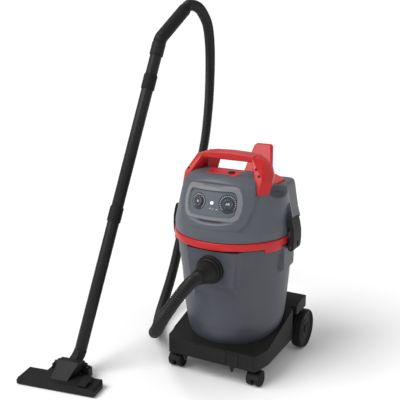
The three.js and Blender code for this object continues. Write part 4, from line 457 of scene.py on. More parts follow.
def metal(name, rgb, roughness):
    """Turned or drawn steel: fine lines along the piece and a little tarnish."""
    tree = Tree(name)
    place = tree.place()
    stretched = tree.node("ShaderNodeMapping", {}, {"Vector": place, "Scale": (30, 1400, 1400)})
    lines = tree.noise(1, 2, 0.5, stretched)
    tarnish = tree.noise(40, 4, 0.6, place).over(0.45, 0.75)
    base = tree.mix(tarnish * 0.35, rgba(rgb), rgba(rgb, 0.6))
    rough = roughness + (lines - 0.5) * 0.18 + tarnish * 0.15
    normal = tree.bump(lines, 0.00003)
    return tree.finish(Base_Color=base, Metallic=1.0, Roughness=rough, Normal=normal)


def soft(name, rgb, roughness, scale, depth, spread):
    """Rubber, foam or paper: a matt body with pores of one scale, darkened in their pits as painted
    shade.
    """
    tree = Tree(name)
    place = tree.place()
    pores = tree.cells(scale, place)
    cloud = tree.noise(14, 4, 0.6, place)
    base = tree.mix(cloud, rgba(rgb, 1 - spread), rgba(rgb, 1 + spread))
    # pits of the pores darkened: painted shade where the bump dips
    base = tree.mix(pores.over(0.0, 0.5), rgba(rgb, 0.6), base)
    rough = roughness + (cloud - 0.5) * 0.15
    normal = tree.bump(pores, depth, 0.7)
    return tree.finish(Base_Color=base, Roughness=rough, Specular_IOR_Level=0.25, Normal=normal)


def sheet_metallic(name, rgb):
    """The printed insert of the panel: a fine metallic speckle under a satin film."""
    tree = Tree(name)
    place = tree.place()
    speck = tree.cells(1100, place).over(0.25, 0.75)
    cloud = tree.noise(30, 3, 0.6, place)
    base = tree.mix(speck, rgba(rgb, 1.22), rgba(rgb, 0.80))
    base = tree.mix(cloud * 0.25, base, rgba(rgb, 0.85))
    rough = 0.42 + speck * 0.12
    normal = tree.bump(speck, 0.00004, 0.5)
    return tree.finish(Base_Color=base, Metallic=0.25, Roughness=rough, Normal=normal)


def printed(name, rgb, roughness):
    """Ink on plastic, slightly uneven."""
    tree = Tree(name)
    uneven = tree.noise(900, 2)
    base = tree.mix(uneven, rgba(rgb, 0.86), rgba(rgb, 1.05))
    return tree.finish(Base_Color=base, Roughness=roughness + (uneven - 0.5) * 0.1)


MOULDED = (
    # look, material, colour, roughness, grain in metres, grains to a metre, mottle, wear,
    # shine, whether ribbed
    # grey and drum are lit and shaded copies of one plastic: painted light on the head, painted shade
    # on the drum
    ("grey", "grey_plastic", "grey", 0.44, 0.00007, 1300, 0.05, 0.05),
    ("drum", "drum_plastic", "drum_grey", 0.44, 0.00007, 1300, 0.05, 0.05),
    # the bezel's row is painted sheen: the head's plastic made lighter where the frame catches light
    ("bezel", "bezel_plastic", "bezel", 0.38, 0.00004, 1500, 0.04, 0.03),
    ("red", "red_plastic", "red", 0.36, 0.00004, 1700, 0.05, 0.02, 0.35),
    ("black", "black_plastic", "black", 0.55, 0.00008, 1200, 0.14, 0.012, 0.2),
    ("tube", "tube_plastic", "black", 0.48, 0.00003, 1500, 0.10, 0.012, 0.25),
    ("hose", "hose_plastic", "black", 0.44, 0.00003, 1500, 0.12, 0.01, 0.25, True),
    ("dial", "dial_plastic", "dial", 0.40, 0.00004, 1600, 0.06, 0.03),
    ("natural", "natural_plastic", "natural", 0.45, 0.00004, 1500, 0.04, 0.03),
)
SOFT = (
    # look, material, roughness, pores to a metre, their depth in metres, spread of the colour
    ("rubber", "rubber", 0.62, 1500, 0.00005, 0.12),
    ("paper", "filter_paper", 0.85, 420, 0.0002, 0.06),
    ("foam", "foam", 0.95, 300, 0.0012, 0.15),
)
PRINTED = (
    # look, material, roughness
    ("ink", "white_marks", 0.5),
    ("warn", "red_mark", 0.5),
    ("lens", "lamp_lens", 0.25),
)


def make_looks(colours):
    """Every material of the vacuum, by name."""
    for key, name, own, *values in MOULDED:
        look[key] = moulded(name, getattr(colours, own), *values)
    for key, name, *values in SOFT:
        look[key] = soft(name, getattr(colours, key), *values)
    for key, name, roughness in PRINTED:
        look[key] = printed(name, getattr(colours, key), roughness)
    look["panel"] = sheet_metallic("panel_film", colours.panel)
    look["steel"] = metal("steel", colours.steel, 0.32)


SLOTS = {
    "grey": "grey_plastic",
    "drum": "grey_plastic",
    "bezel": "grey_plastic",
    "red": "red_plastic",
    "black": "black_plastic",
    "tube": "black_plastic",
    "dial": "black_plastic",
    "rubber": "rubber",
    "hose": "rubber",
    "panel": "panel_plastic",
    "lens": "lamp_lens",
    "steel": "steel",
}


def placed(points):
    """Points of the tank's frame, in millimetres, moved to the part's frame, in metres."""
    return (np.asarray(points, float) + AXIS) * MM


def body_of(node):
    """The name of the CAD body that a node rides on."""
    holder = frame["nodes"][node].parent
    return next(name for name, empty in frame["bodies"].items() if empty == holder)


def smooth_step(value):
    """0 up to 0, 1 from 1 on, and smooth between."""
    t = np.clip(value, 0, 1)
    return t * t * (3 - 2 * t)


def joined(a, b, k):
    """The lesser of two distance fields, blended over a length k: their union."""
    h = np.maximum(k - np.abs(a - b), 0) / k
    return np.minimum(a, b) - h * h * k / 4


def cut(a, b, k):
    """The greater of two distance fields, blended over a length k: their overlap."""
    return -joined(-a, -b, k)


def around(count):
    """count even angles round a circle."""
    return np.linspace(0, 2 * math.pi, count, endpoint=False)


def spline(points, steps):
    """Points on the centripetal Catmull-Rom curve through the given ones, steps to each stretch."""
    p = np.asarray(points, float)
    p = np.vstack([2 * p[0] - p[1], p, 2 * p[-1] - p[-2]])
    gap = np.sqrt(np.linalg.norm(np.diff(p, axis=0), axis=1))
    t = np.linspace(0, 1, steps, endpoint=False)[:, None]
    runs = []
    for i in range(1, len(p) - 2):
        a, b, c, d = p[i - 1 : i + 3]
        g0, g1, g2 = gap[i - 1 : i + 2]
        start = ((b - a) / g0 - (c - a) / (g0 + g1) + (c - b) / g1) * g1
        end = ((c - b) / g1 - (d - b) / (g1 + g2) + (d - c) / g2) * g1
        square, cube = 3 * (c - b) - 2 * start - end, 2 * (b - c) + start + end
        runs.append(b + start * t + square * t**2 + cube * t**3)
    return np.vstack([*runs, p[-2:-1]])


def evenly(points, count):
    """count points at equal distances along a line of points, and the line's length."""
    runs = np.concatenate([[0], np.cumsum(np.linalg.norm(np.diff(points, axis=0), axis=1))])
    at = np.linspace(0, runs[-1], count)
    return np.stack([np.interp(at, runs, axis) for axis in points.T], 1), runs[-1]


def rings(path, radii, sides):
    """A grid of rings square to a path, their first points carried along it without twist."""
    tangent = np.gradient(path, axis=0)
    tangent /= np.linalg.norm(tangent, axis=1)[:, None]
    side = np.empty_like(path)
    carried = np.array([1.0, 0.0, 0.0])
    for i, way in enumerate(tangent):
        carried = carried - way * (carried @ way)
        carried /= np.linalg.norm(carried)
        side[i] = carried
    return circles(path, side, np.cross(tangent, side), radii, sides)


def circles(path, side, up, radii, sides):
    """A grid of circles round the points of a path, in the planes of side and up."""
    angle = around(sides)[None, :, None]
    ring = np.cos(angle) * side[:, None] + np.sin(angle) * up[:, None]
    return path[:, None] + ring * radii[:, None, None]


def revolved(profile, sides):
    """A grid round the local Z axis from a profile of [radius, height]."""
    profile = np.asarray(profile, float)
    angle = around(sides)
    r, z = profile[:, 0, None], profile[:, 1, None]
    return np.stack([r * np.cos(angle), r * np.sin(angle), z + 0 * angle], -1)


def turned(grid, origin, x, y, z):
    """A local grid put on an origin and three axes."""
    return np.asarray(origin) + grid @ np.array([x, y, z], float)


def rounded(profile, radius, steps=3, closed=True):
    """A profile with a quadratic curve at each corner, between its shortened sides."""
    p = np.asarray(profile, float)
    out = [] if closed else [p[0]]
    span = range(len(p)) if closed else range(1, len(p) - 1)
    t = np.linspace(0, 1, steps)[:, None]
    for i in span:
        before, at, after = p[i - 1], p[i], p[(i + 1) % len(p)]
        back, on = np.linalg.norm(before - at), np.linalg.norm(after - at)
        a = at + (before - at) * min(radius / back, 0.45)
        b = at + (after - at) * min(radius / on, 0.45)
        out.extend(a * (1 - t) ** 2 + 2 * at * t * (1 - t) + b * t**2)
    if not closed:
        out.append(p[-1])
    return np.array(out)


def grid_mesh(grid, ends="closed"):
    """Points and quads of a grid whose rows close round.

    ends is closed for a pole at each end, ring when the last row meets the first.
    """
    rows, columns = grid.shape[:2]
    index = np.arange(rows * columns).reshape(rows, columns)
    if ends == "ring":
        index = np.vstack([index, index[:1]])
    index = np.hstack([index, index[:, :1]])
    quads = [index[:-1, :-1], index[:-1, 1:], index[1:, 1:], index[1:, :-1]]
    points = grid.reshape(-1, 3)
    faces = np.stack(quads, -1).reshape(-1, 4).tolist()
    if ends == "closed":
        for row, flip in ((index[0], True), (index[-1], False)):
            centre = len(points)
            points = np.vstack([points, points[row[:columns]].mean(0)])
            for a, b in zip(row[:-1], row[1:], strict=True):
                faces.append([int(b), int(a), centre] if flip else [int(a), int(b), centre])
    return points, faces


def piece(name, shape, body, finish, replaces=(), bevel=0.0, sharp=34):
    """A finished object from points and faces, on a body and in place of the nodes it replaces."""
    points, faces = shape
    mesh = bpy.data.meshes.new(name)
    mesh.from_pydata(placed(points), [], faces)
    work = bmesh.new()
    work.from_mesh(mesh)
    bmesh.ops.remove_doubles(work, verts=work.verts, dist=1e-6)
    bmesh.ops.recalc_face_normals(work, faces=work.faces)
    work.to_mesh(mesh)
    work.free()
    return finished(name, mesh, body, finish, replaces, bevel, sharp)


def finished(name, mesh, body, finish, replaces, bevel, sharp):
    """Adds an object for a mesh: smooth between sharp edges, bevelled if asked, with its look."""
    mesh.shade_smooth()
    mesh.set_sharp_from_angle(angle=math.radians(sharp))
    obj = bpy.data.objects.new(name, mesh)
    bpy.context.scene.collection.objects.link(obj)
    mesh.materials.append(look[finish])
    if bevel:
        rounder = obj.modifiers.new("edges", "BEVEL")
        rounder.width = bevel
        rounder.segments = 3
        rounder.limit_method = "ANGLE"
        rounder.angle_limit = math.radians(28)
        rounder.harden_normals = True
    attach(obj, body)
    finish in SLOTS
    if replaces:
        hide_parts(*replaces)
    return obj


def softened(node, finish, bevel):
    """A copy of a CAD node with flat faces joined and edges rounded, in place of the node."""
    name = node + "_skin"
    source = frame["nodes"][node].data
    work = bmesh.new()
    work.from_mesh(source)
    bmesh.ops.remove_doubles(work, verts=work.verts, dist=2e-6)
    bmesh.ops.dissolve_degenerate(work, edges=work.edges, dist=1e-5)
    flat = math.radians(0.8)
    bmesh.ops.dissolve_limit(work, angle_limit=flat, verts=work.verts, edges=work.edges)
    bmesh.ops.recalc_face_normals(work, faces=work.faces)
    mesh = bpy.data.meshes.new(name)
    work.to_mesh(mesh)
    work.free()
    finished(name, mesh, body_of(node), finish, [node], bevel, 28)


def skin(origins, ways, field, reach, near, steps=36):
    """Where rays that start inside a body leave it for the last time: field is below zero inside.

    Each ray is searched from reach inwards in even steps, then halved towards the crossing.
    """
    o = origins.reshape(-1, 3)
    d = ways.reshape(-1, 3)
    low = np.full(len(o), near)
    high = np.full(len(o), reach)
    found = np.zeros(len(o), bool)
    stops = np.linspace(reach, near, steps)
    for outer, inner in zip(stops[:-1], stops[1:], strict=True):
        open_rays = np.flatnonzero(~found)
        if not len(open_rays):
            break
        inside = field(o[open_rays] + d[open_rays] * inner) < 0
        hit = open_rays[inside]
        low[hit] = inner
        high[hit] = outer
        found[hit] = True
    for _ in range(14):
        middle = (low + high) / 2
        inside = field(o + d * middle[:, None]) < 0
        low = np.where(inside, middle, low)
        high = np.where(inside, high, middle)
    return (o + d * low[:, None]).reshape(origins.shape)


def bowl_rays(heights, tilts, angles, axis_y, pole_z):
    """Rays of a bowl or dome: level ones at the heights, then at pole_z ones tilted by degrees."""
    height = np.concatenate([heights, np.full(len(tilts), pole_z)])
    tilt = np.radians(np.concatenate([np.zeros(len(heights)), tilts]))
    origin = np.zeros((len(height), len(angles), 3))
    origin[..., 1] = axis_y(height)[:, None]
    origin[..., 2] = height[:, None]
    way = np.empty_like(origin)
    way[..., 0] = np.cos(tilt)[:, None] * np.cos(angles)
    way[..., 1] = np.cos(tilt)[:, None] * np.sin(angles)
    way[..., 2] = np.sin(tilt)[:, None]
    return origin, way


def tank_shift(z):
    """How far the tank's axis lies back at a height."""
    return np.interp(z, *TANK_LEAN)


TANK_CURVE = np.vstack([spline(TANK_RADII, 12), RIM])


def tank_field(p):
    """The drum, its collar, the soft pad behind the inlet and the two latch pads."""
    x, y, z = p.T
    radius = np.hypot(x, y - tank_shift(z))
    drum = radius - np.interp(z, TANK_CURVE[:, 1], TANK_CURVE[:, 0])
    drum = cut(drum, TANK_FOOT_Z - z, 4)
    foot = INLET_PAD[0][0]
    face = INLET_PAD_Y + np.maximum(foot - z, 0) * PAD_FADE
    pad = cut(np.abs(x - INLET_X) - np.interp(z, *INLET_PAD), face - y, 8)
    pad = np.maximum(pad, y)
    body = joined(drum, pad, 16)
    side_x, middle, half, low = LATCH_PAD
    under = side_x - np.maximum(low - z + np.abs(y - middle) * 0.12, 0) * 1.2
    latch = cut(np.abs(y - middle) - half, np.abs(x) - under, 3)
    return joined(body, latch, 3)


def head_profile():
    """[radius, height] of the dome, smooth between its table's points."""
    curve = spline(DOME_PROFILE, 10)
    return curve[np.concatenate([[True], np.diff(curve[:, 1]) > 0])]


DOME_CURVE = head_profile()


def dome_radius(z):
    """Radius of the dome's outer face at a height."""
    return np.interp(z, DOME_CURVE[:, 1], DOME_CURVE[:, 0])


def upright(z):
    """The head's axis: upright at x = y = 0."""
    return 0 * z


def latch_way(grid):
    """Presses what lies beside the latches in to the planes that they hang in."""
    beside = (np.abs(grid[..., 1] - LATCH_PAD[1]) < LATCH_WAY_HALF) & (grid[..., 2] < LATCH_WAY_TOP)
    pressed = np.clip(grid[..., 0], -LATCH_WAY_X, LATCH_WAY_X)
    grid[..., 0] = np.where(beside, pressed, grid[..., 0])


def head_field(p):
    """Dome, sloping roof and square back, less the shoulders and the scoops beside the handle."""
    x, y, z = p.T
    side = np.abs(x)
    dome = np.hypot(x, y) - dome_radius(z)
    roof = z - np.interp(y, *TOP_LINE)
    body = cut(dome, roof, 5)
    key_x, key_y, key_radius, key_floor = KEY_WELL
    well = np.maximum(np.hypot(x - key_x, y - key_y) - key_radius, key_floor - z)
    body = cut(body, -well, 1)
    shoulder_x, shoulder_y, shoulder_z = SHOULDER
    shoulder = np.maximum(np.maximum(shoulder_x - side, shoulder_y - y), shoulder_z - z)
    body = cut(body, -shoulder, 2)
    floor_x, front_y, back_y, foot_z, top_z = POCKET
    front_y = front_y - (z - foot_z) * POCKET_LEAN + (side - floor_x) * -POCKET_SPLAY
    pocket = np.maximum(np.maximum(front_y - y, y - back_y), np.maximum(foot_z - z, z - top_z))
    pocket = np.maximum(pocket, floor_x - side)
    body = cut(body, -pocket, 2)
    table = np.array(BLOCK_SECTIONS)
    over_x = side - np.interp(z, table[:, 0], table[:, 1]) + BLOCK_CORNER
    over_y = y - np.interp(z, table[:, 0], table[:, 2]) + BLOCK_CORNER
    block = np.hypot(np.maximum(over_x, 0), np.maximum(over_y, 0))
    block = block + np.minimum(np.maximum(over_x, over_y), 0) - BLOCK_CORNER
    block = cut(cut(block, BLOCK_FRONT_Y - y, 4), z - BLOCK_TOP_Z, 6)
    body = joined(body, block, 10)
    centre, radii = np.array(SCOOP_CENTRE), np.array(SCOOP_RADII)
    away = (np.stack([side, y, z], 1) - centre) / radii
    scoop = (np.linalg.norm(away, axis=1) - 1) * radii.min()
    return cut(body, -scoop, 4)


def outline_field(x, z, half_outline):
    """Signed distance to a left-right symmetric outline in [x, z], below zero inside."""
    half = np.asarray(half_outline, float)
    loop = np.vstack([half, half[::-1] * [-1, 1]])
    p = np.stack([x, z], -1)
    least = np.full(x.shape, np.inf)
    inside = np.zeros(x.shape, bool)
    for a, b in zip(loop, np.roll(loop, -1, axis=0), strict=True):
        way = b - a
        t = np.clip(((p - a) @ way) / (way @ way), 0, 1)
        least = np.minimum(least, np.linalg.norm(p - a - t[..., None] * way, axis=-1))
        crosses = (a[1] > p[..., 1]) != (b[1] > p[..., 1])
        reach = a[0] + (p[..., 1] - a[1]) * way[0] / (way[1] if way[1] else 1e-9)
        inside ^= crosses & (p[..., 0] < reach)
    return np.where(inside, -least, least)


def panel_relief(x, z, groove):
    """How far the dome's face stands out: surround, bezel, crescents and the insert's recess."""
    height, half = SURROUND
    edge = np.interp(z, height, half) - np.abs(x)
    rise = SURROUND_PROUD * (0.5 + 0.7 * (x / half[-1]) ** 2)
    rise = rise * smooth_step((edge + 4) / 6) * smooth_step((z - height[0]) / 12)
    rise = rise * smooth_step((height[-1] - z) / 16)
    bezel = outline_field(x, z, BEZEL_OUTLINE)
    insert = outline_field(x, z, PANEL_OUTLINE)
    lip = (BEZEL_PROUD - rise) * smooth_step(-bezel / 4 + 0.5)
    middle = (PANEL_OUTLINE[0][1] + PANEL_OUTLINE[-1][1]) / 2
    half_length, most, over, under = CRESCENT
    reach = np.clip(1 - (x / half_length) ** 2, 0, 1)
    width = most * np.sqrt(reach) + 1e-6
    away = np.where(z > middle, z - over, under - z)
    crescent = groove * reach * smooth_step(away / 2) * smooth_step((width - away) / width * 1.4)
    recess = (BEZEL_PROUD + PANEL_DEPTH) * smooth_step(-insert / 1.6)
    return rise + lip - crescent - recess


def wand_axes():
    """The wand's x, y and z in the tank's frame: z up it, y to the side its hand pipe bends to."""
    lean, heading = math.radians(WAND_LEAN), math.radians(WAND_HEADING)
    ahead = np.array([math.cos(heading), math.sin(heading), 0])
    z = ahead * math.sin(lean) + np.array([0, 0, math.cos(lean)])
    y = ahead * math.cos(lean) - np.array([0, 0, math.sin(lean)])
    return np.cross(y, z), y, z


def on_wand(grid):
    """A grid of the wand's frame put in the tank's frame."""
    return turned(grid, WAND_FOOT, *wand_axes())


def hand_path(distances):
    """Points of the hand pipe's middle line: straight, an arc, and straight again."""
    bend = math.radians(HAND_BEND)
    s = np.asarray(distances, float)
    turn = np.clip((s - HAND_STRAIGHT) / HAND_BEND_RADIUS, 0, bend)
    beyond = np.maximum(s - HAND_STRAIGHT - HAND_BEND_RADIUS * bend, 0)
    y = HAND_BEND_RADIUS * (1 - np.cos(turn)) + beyond * np.sin(turn)
    z = np.minimum(s, HAND_STRAIGHT) + HAND_BEND_RADIUS * np.sin(turn) + beyond * np.cos(turn)
    return np.stack([0 * s, y, HAND_START + z], 1)


def hand_rings(stations, sides=40):
    """A grid along the hand pipe from [distance, radius] stations."""
    s, radii = np.array(stations, float).T
    step = 0.5
    way = hand_path(s + step) - hand_path(s - step)
    way /= np.linalg.norm(way, axis=1)[:, None]
    across = np.array([[1.0, 0.0, 0.0]])
    return circles(hand_path(s), across, np.cross(way, across), radii, sides)


def hose_path(ribs_per_turn):
    """The hose's middle line in the tank's frame, from the cuff to the grip, and its length."""
    grip_end = AIR_RING[1] + FIT + GRIP_LENGTH
    far, before = on_wand(hand_path([grip_end + FIT, grip_end - 1]))
    way = (far - before) / np.linalg.norm(far - before)
    exit_point = np.array(HOSE_EXIT, float)
    out = np.array([0, -1.0, 0])
    points = [
        exit_point,
        exit_point + out * HOSE_NEAR_RUN / 2,
        exit_point + out * HOSE_NEAR_RUN,
        *np.array(HOSE_ROUTE, float),
        far + way * HOSE_FAR_RUN,
        far,
    ]
    line = spline(points, 60)
    _, length = evenly(line, 2)
    count = int(length / ribs_per_turn) * RIB_STEPS + 1
    return evenly(line, count)


class VACUUM_OT_stage(bpy.types.Operator):
    """Camera, floor, world and lights."""

    bl_idname = "vacuum.stage"
    bl_label = "Stage"

    def execute(self, context):
        scene = context.scene
        self.camera(scene)
        self.floor(scene)
        self.world(scene)
        key = bpy.data.lights.new("key", "SUN")
        key.energy = KEY_STRENGTH
        key.angle = math.radians(KEY_SPREAD)
        self.stand(scene, key, KEY_FROM, (0, 0, 0))
        side = bpy.data.lights.new("side", "AREA")
        side.size = SIDE_SIZE
        side.energy = SIDE_WATTS
        self.stand(scene, side, SIDE_PLACE, SIDE_AIM)
        return {"FINISHED"}

    def camera(self, scene):
        """The view from the front and the right, a little from above."""
        camera = bpy.data.cameras.new("camera")
        camera.lens = CAMERA_LENS
        camera.sensor_width = SENSOR
        camera.clip_end = FLOOR_HALF * 4
        holder = bpy.data.objects.new("camera", camera)
        holder.location = CAMERA_PLACE
        holder.rotation_euler = [math.radians(a) for a in CAMERA_TURN]
        scene.collection.objects.link(holder)
        scene.camera = holder
        scene.view_settings.view_transform = "Standard"

    def floor(self, scene):
        """A floor out to the horizon, with a faint glow where the camera sees it."""
        mesh = bpy.data.meshes.new("floor")
        corners = [(-1, -1, 0), (1, -1, 0), (1, 1, 0), (-1, 1, 0)]
        mesh.from_pydata(np.array(corners) * FLOOR_HALF, [], [(0, 1, 2, 3)])
        floor = bpy.data.objects.new("floor", mesh)
        scene.collection.objects.link(floor)
        tree = Tree("studio_floor")
        cloud = tree.noise(0.8, 2)
        rgb = scene.vacuum_colours.floor
        seen = tree.node("ShaderNodeLightPath", {}, {}, "Is Camera Ray")
        glow = tree.mix(seen, (0, 0, 0, 1), (FLOOR_GLOW, FLOOR_GLOW, FLOOR_GLOW, 1))
        base = tree.mix(cloud, rgba(rgb, 0.985), rgba(rgb, 1.0))
        tree.finish(Base_Color=base, Roughness=0.9, Emission_Color=glow, Emission_Strength=1.0)
        mesh.materials.append(tree.material)

    def world(self, scene):
        """Even light from all round, brighter where the camera sees it."""
        world = bpy.data.worlds.new("studio")
        world.use_nodes = True
        nodes, links = world.node_tree.nodes, world.node_tree.links
        background = nodes["Background"]
        background.inputs["Color"].default_value = (1, 1, 1, 1)
        seen = nodes.new("ShaderNodeLightPath")
        level = nodes.new("ShaderNodeMapRange")
        level.inputs["To Min"].default_value = WORLD_LIGHT
        level.inputs["To Max"].default_value = WORLD_SEEN
        links.new(seen.outputs["Is Camera Ray"], level.inputs["Value"])
        links.new(level.outputs["Result"], background.inputs["Strength"])
        scene.world = world

    def stand(self, scene, light, place, aim):
        """Puts a light at a place and turns it to face its aim."""
        stand = bpy.data.objects.new(light.name, light)
        stand.location = place
        way = np.array(aim, float) - np.array(place)
        flat = math.hypot(way[0], way[1])
        heading = math.atan2(way[1], way[0]) - math.pi / 2
        stand.rotation_euler = (math.atan2(flat, -way[2]), 0, heading)
        scene.collection.objects.link(stand)


class VACUUM_OT_hose(bpy.types.Operator):
    """The ribbed hose: rings whose radius dips by (1 - cos(2 pi s / pitch)) / 2 along the route."""

    bl_idname = "vacuum.hose"
    bl_label = "Hose"

    def execute(self, context):
        sizes = context.scene.vacuum_sizes
        pitch = sizes.hose_rib_pitch / MM
        path, length = hose_path(pitch)
        phase = np.arange(len(path)) * 2 * math.pi / RIB_STEPS
        dip = sizes.hose_rib_depth / MM * ((1 - np.cos(phase)) / 2)
        radius = sizes.hose_diameter / MM / 2
        grid = rings(path, radius - dip, HOSE_SIDES)
        obj = piece("suction_hose", grid_mesh(grid), "base", "hose", ["hose"], sharp=80)
        # how deep each ring lies, which the hose's material turns into painted shade in the valleys
        shade = np.zeros(len(obj.data.vertices))
        shade[: len(path) * HOSE_SIDES] = np.repeat(dip / dip.max(), HOSE_SIDES)
        obj.data.attributes.new("valley", "FLOAT", "POINT").data.foreach_set("value", shade)
        return {"FINISHED"}


class VACUUM_OT_inlet(bpy.types.Operator):
    """Inlet socket and hose cuff, turned round the inlet's axis."""

    bl_idname = "vacuum.inlet"
    bl_label = "Inlet"

    def execute(self, context):
        base = [INLET_X, -CUFF_START, INLET_Z]
        axes = ([1, 0, 0], [0, 0, 1], [0, -1, 0])
        for node, profile, radius in (
            ("inlet_socket", SOCKET_PROFILE, 1.0),
            ("hose_cuff", CUFF_PROFILE, 0.8),
        ):
            grid = turned(revolved(rounded(profile, radius), 72), base, *axes)
            piece(node + "_skin", grid_mesh(grid, ends="ring"), "base", "black", [node])
        return {"FINISHED"}


class VACUUM_OT_tank(bpy.types.Operator):
    """The drum: rays from its leaning axis to the tank's field outside, a turned wall inside."""

    bl_idname = "vacuum.tank"
    bl_label = "Tank"

    def execute(self, context):
        angles = around(300)
        upper_z, lower_z = np.linspace(TANK_RIM_Z - 1, 340, 70), np.linspace(338, TANK_EYE_Z, 40)
        tilts = -np.linspace(0, POLE_TILT, 35)[1:]
        rays = bowl_rays(np.concatenate([upper_z, lower_z]), tilts, angles, tank_shift, TANK_EYE_Z)
        outside = skin(*rays, tank_field, *TANK_SEARCH)
        inner = [[r - TANK_WALL, z] for r, z in TANK_CURVE]
        inner[0][1] += TANK_WALL
        floor_z = TANK_FOOT_Z + TANK_WALL
        inner = [[0.5, floor_z], *[p for p in inner if p[1] >= floor_z]]
        mouth = TANK_RIM_RADIUS - TANK_RIM_WIDTH
        inner[-1:] = [[mouth, TANK_RIM_Z - 8], [mouth, TANK_RIM_Z]]
        rim = [[TANK_RIM_RADIUS - 0.8, TANK_RIM_Z]]
        wall = revolved([*rim, *inner[::-1]], len(angles))
        wall[..., 1] += tank_shift(wall[..., 2])
        grid = np.concatenate([outside[::-1], wall])
        piece("tank_skin", grid_mesh(grid), "base", "drum", ["tank"], sharp=40)
        return {"FINISHED"}


class VACUUM_OT_head(bpy.types.Operator):
    """Head shell: rays to the head's field, then the panel's relief added to its face."""

    bl_idname = "vacuum.head"
    bl_label = "Head shell"

    def execute(self, context):
        groove = context.scene.vacuum_sizes.panel_groove / MM
        half = [
            # rays stand closest on the panel's face and over the latches
            np.linspace(-90, -48, 96, endpoint=False),
            np.linspace(-48, -12, 24, endpoint=False),
            np.linspace(-12, 20, 48, endpoint=False),
            np.linspace(20, 90, 40),
        ]
        half = np.concatenate(half)
        angles = np.radians(np.concatenate([half, 180 - half[-2:0:-1]]))
        heights = np.linspace(SHELL_FOOT_Z, HEAD_EYE_Z, 36)
        tilts = np.concatenate([np.linspace(0, 36, 90)[1:], np.linspace(36, 89.4, 60)[1:]])
        rays = bowl_rays(heights, tilts, angles, upright, HEAD_EYE_Z)
        outside = skin(*rays, head_field, *HEAD_SEARCH)
        x, y, z = (outside[..., k] for k in range(3))
        relief = panel_relief(x, z, groove) * smooth_step((RELIEF_Y - y) / RELIEF_FADE)
        radial = np.stack([np.cos(angles), np.sin(angles), 0 * angles], -1)
        outside = outside + relief[..., None] * radial
        latch_way(outside)
        heights = np.linspace(SHELL_FOOT_Z, INNER_EYE_Z, 12)
        tilts = np.linspace(0, POLE_TILT, 15)[1:]
        rays = bowl_rays(heights, tilts, angles, upright, INNER_EYE_Z)
        inside = skin(*rays, lambda p: head_field(p) + SHELL_WALL, *HEAD_SEARCH)
        grid = np.concatenate([outside[::-1], inside])
        obj = piece("head_skin", grid_mesh(grid), "head", "grey", ["head_shell"], sharp=42)
        self.paint_bezel_sheen(obj.data)
        return {"FINISHED"}

    def paint_bezel_sheen(self, mesh):
        """Paints a sheen on the faces between the insert's edge and the bezel's outline: the bezel's
        lighter grey stands in for the light that the raised frame catches.
        """
        mesh.materials.append(look["bezel"])
        centres = np.empty(len(mesh.polygons) * 3)
        mesh.polygons.foreach_get("center", centres)
        x, y, z = (centres.reshape(-1, 3) / MM - AXIS).T
        within = (outline_field(x, z, BEZEL_OUTLINE) < 0) & (y < BEZEL_Y)
        outer = np.hypot(x, y) > dome_radius(z) - 1
        mesh.polygons.foreach_set("material_index", (within & outer).astype(np.int32))
        mesh.update()


class VACUUM_OT_band(bpy.types.Operator):
    """Red band: a closed section turned round the axis, with a hanging lug ahead of each latch."""

    bl_idname = "vacuum.band"
    bl_label = "Red band"

    def execute(self, context):
        angles = np.linspace(0, 360, 720, endpoint=False)
        lug = np.zeros_like(angles)
        for start, end in (BAND_LUG, [180 - a for a in reversed(BAND_LUG)]):
            below = (360 - angles) % 360
            rise, fall = (below - start) / BAND_LUG_RUN, (end - below) / BAND_LUG_RUN
            lug = lug + smooth_step(rise) * smooth_step(fall)
        drop = BAND_LUG_DEPTH * lug
        inner = BAND_RADIUS - BAND_LUG_WALL
        section = [
            # radius, height, and share of the lug's drop
            [BAND_BORE, BAND_Z, 0],
            [inner - 1, BAND_Z, 0],
            [inner, BAND_Z, 1],
            [BAND_RADIUS - 1.6, BAND_Z, 1],
            [BAND_RADIUS - 0.4, BAND_Z + 0.5, 1],
            [BAND_RADIUS, BAND_Z + 1.6, 1],
            [BAND_RADIUS, BAND_TOP_Z - 2.4, 0],
            [BAND_RADIUS - 0.6, BAND_TOP_Z - 0.9, 0],
            [BAND_RADIUS - 2.2, BAND_TOP_Z, 0],
            [BAND_BORE, BAND_TOP_Z, 0],
        ]
        section = np.array(section, float)
        turn = np.radians(angles)
        radius = section[:, 0, None]
        height = section[:, 1, None] - section[:, 2, None] * drop
        grid = np.stack([radius * np.cos(turn), radius * np.sin(turn), height], -1)
        latch_way(grid)
        piece("band_skin", grid_mesh(grid, ends="ring"), "head", "red", ["head_band"], sharp=50)
        return {"FINISHED"}


def panel_place(x):
    """Origin and axes of a fitting on the panel: side, up along the face, and out square to it."""
    table = DOME_PROFILE
    i = next(k for k, (_, height) in enumerate(table) if height > DIAL_Z)
    (r0, z0), (r1, z1) = table[i - 1], table[i]
    radius = r0 + (r1 - r0) * (DIAL_Z - z0) / (z1 - z0) + PANEL_PROUD
    y = -math.sqrt(radius * radius - x * x)
    out = np.array([x / radius * (z1 - z0), y / radius * (z1 - z0), r0 - r1])
    out /= np.linalg.norm(out)
    side = np.cross([0, 0, 1], out)
    side /= np.linalg.norm(side)
    return np.array([x, y, DIAL_Z], float), side, np.cross(out, side), out


SEGMENTS = {
    # middle of each bar of a digit as shares of its size, and its turn
    "a": (0, 1, 0),
    "b": (0.5, 0.5, 90),
    "c": (0.5, -0.5, 90),
    "d": (0, -1, 0),
    "e": (-0.5, -0.5, 90),
    "f": (-0.5, 0.5, 90),
    "g": (0, 0, 0),
}
DIGITS = {"0": "abcdef", "1": "bc", "2": "abged", "4": "fgbc"}
DIAL_TEXT = {"dial_left": "10", "dial_right": "240"}


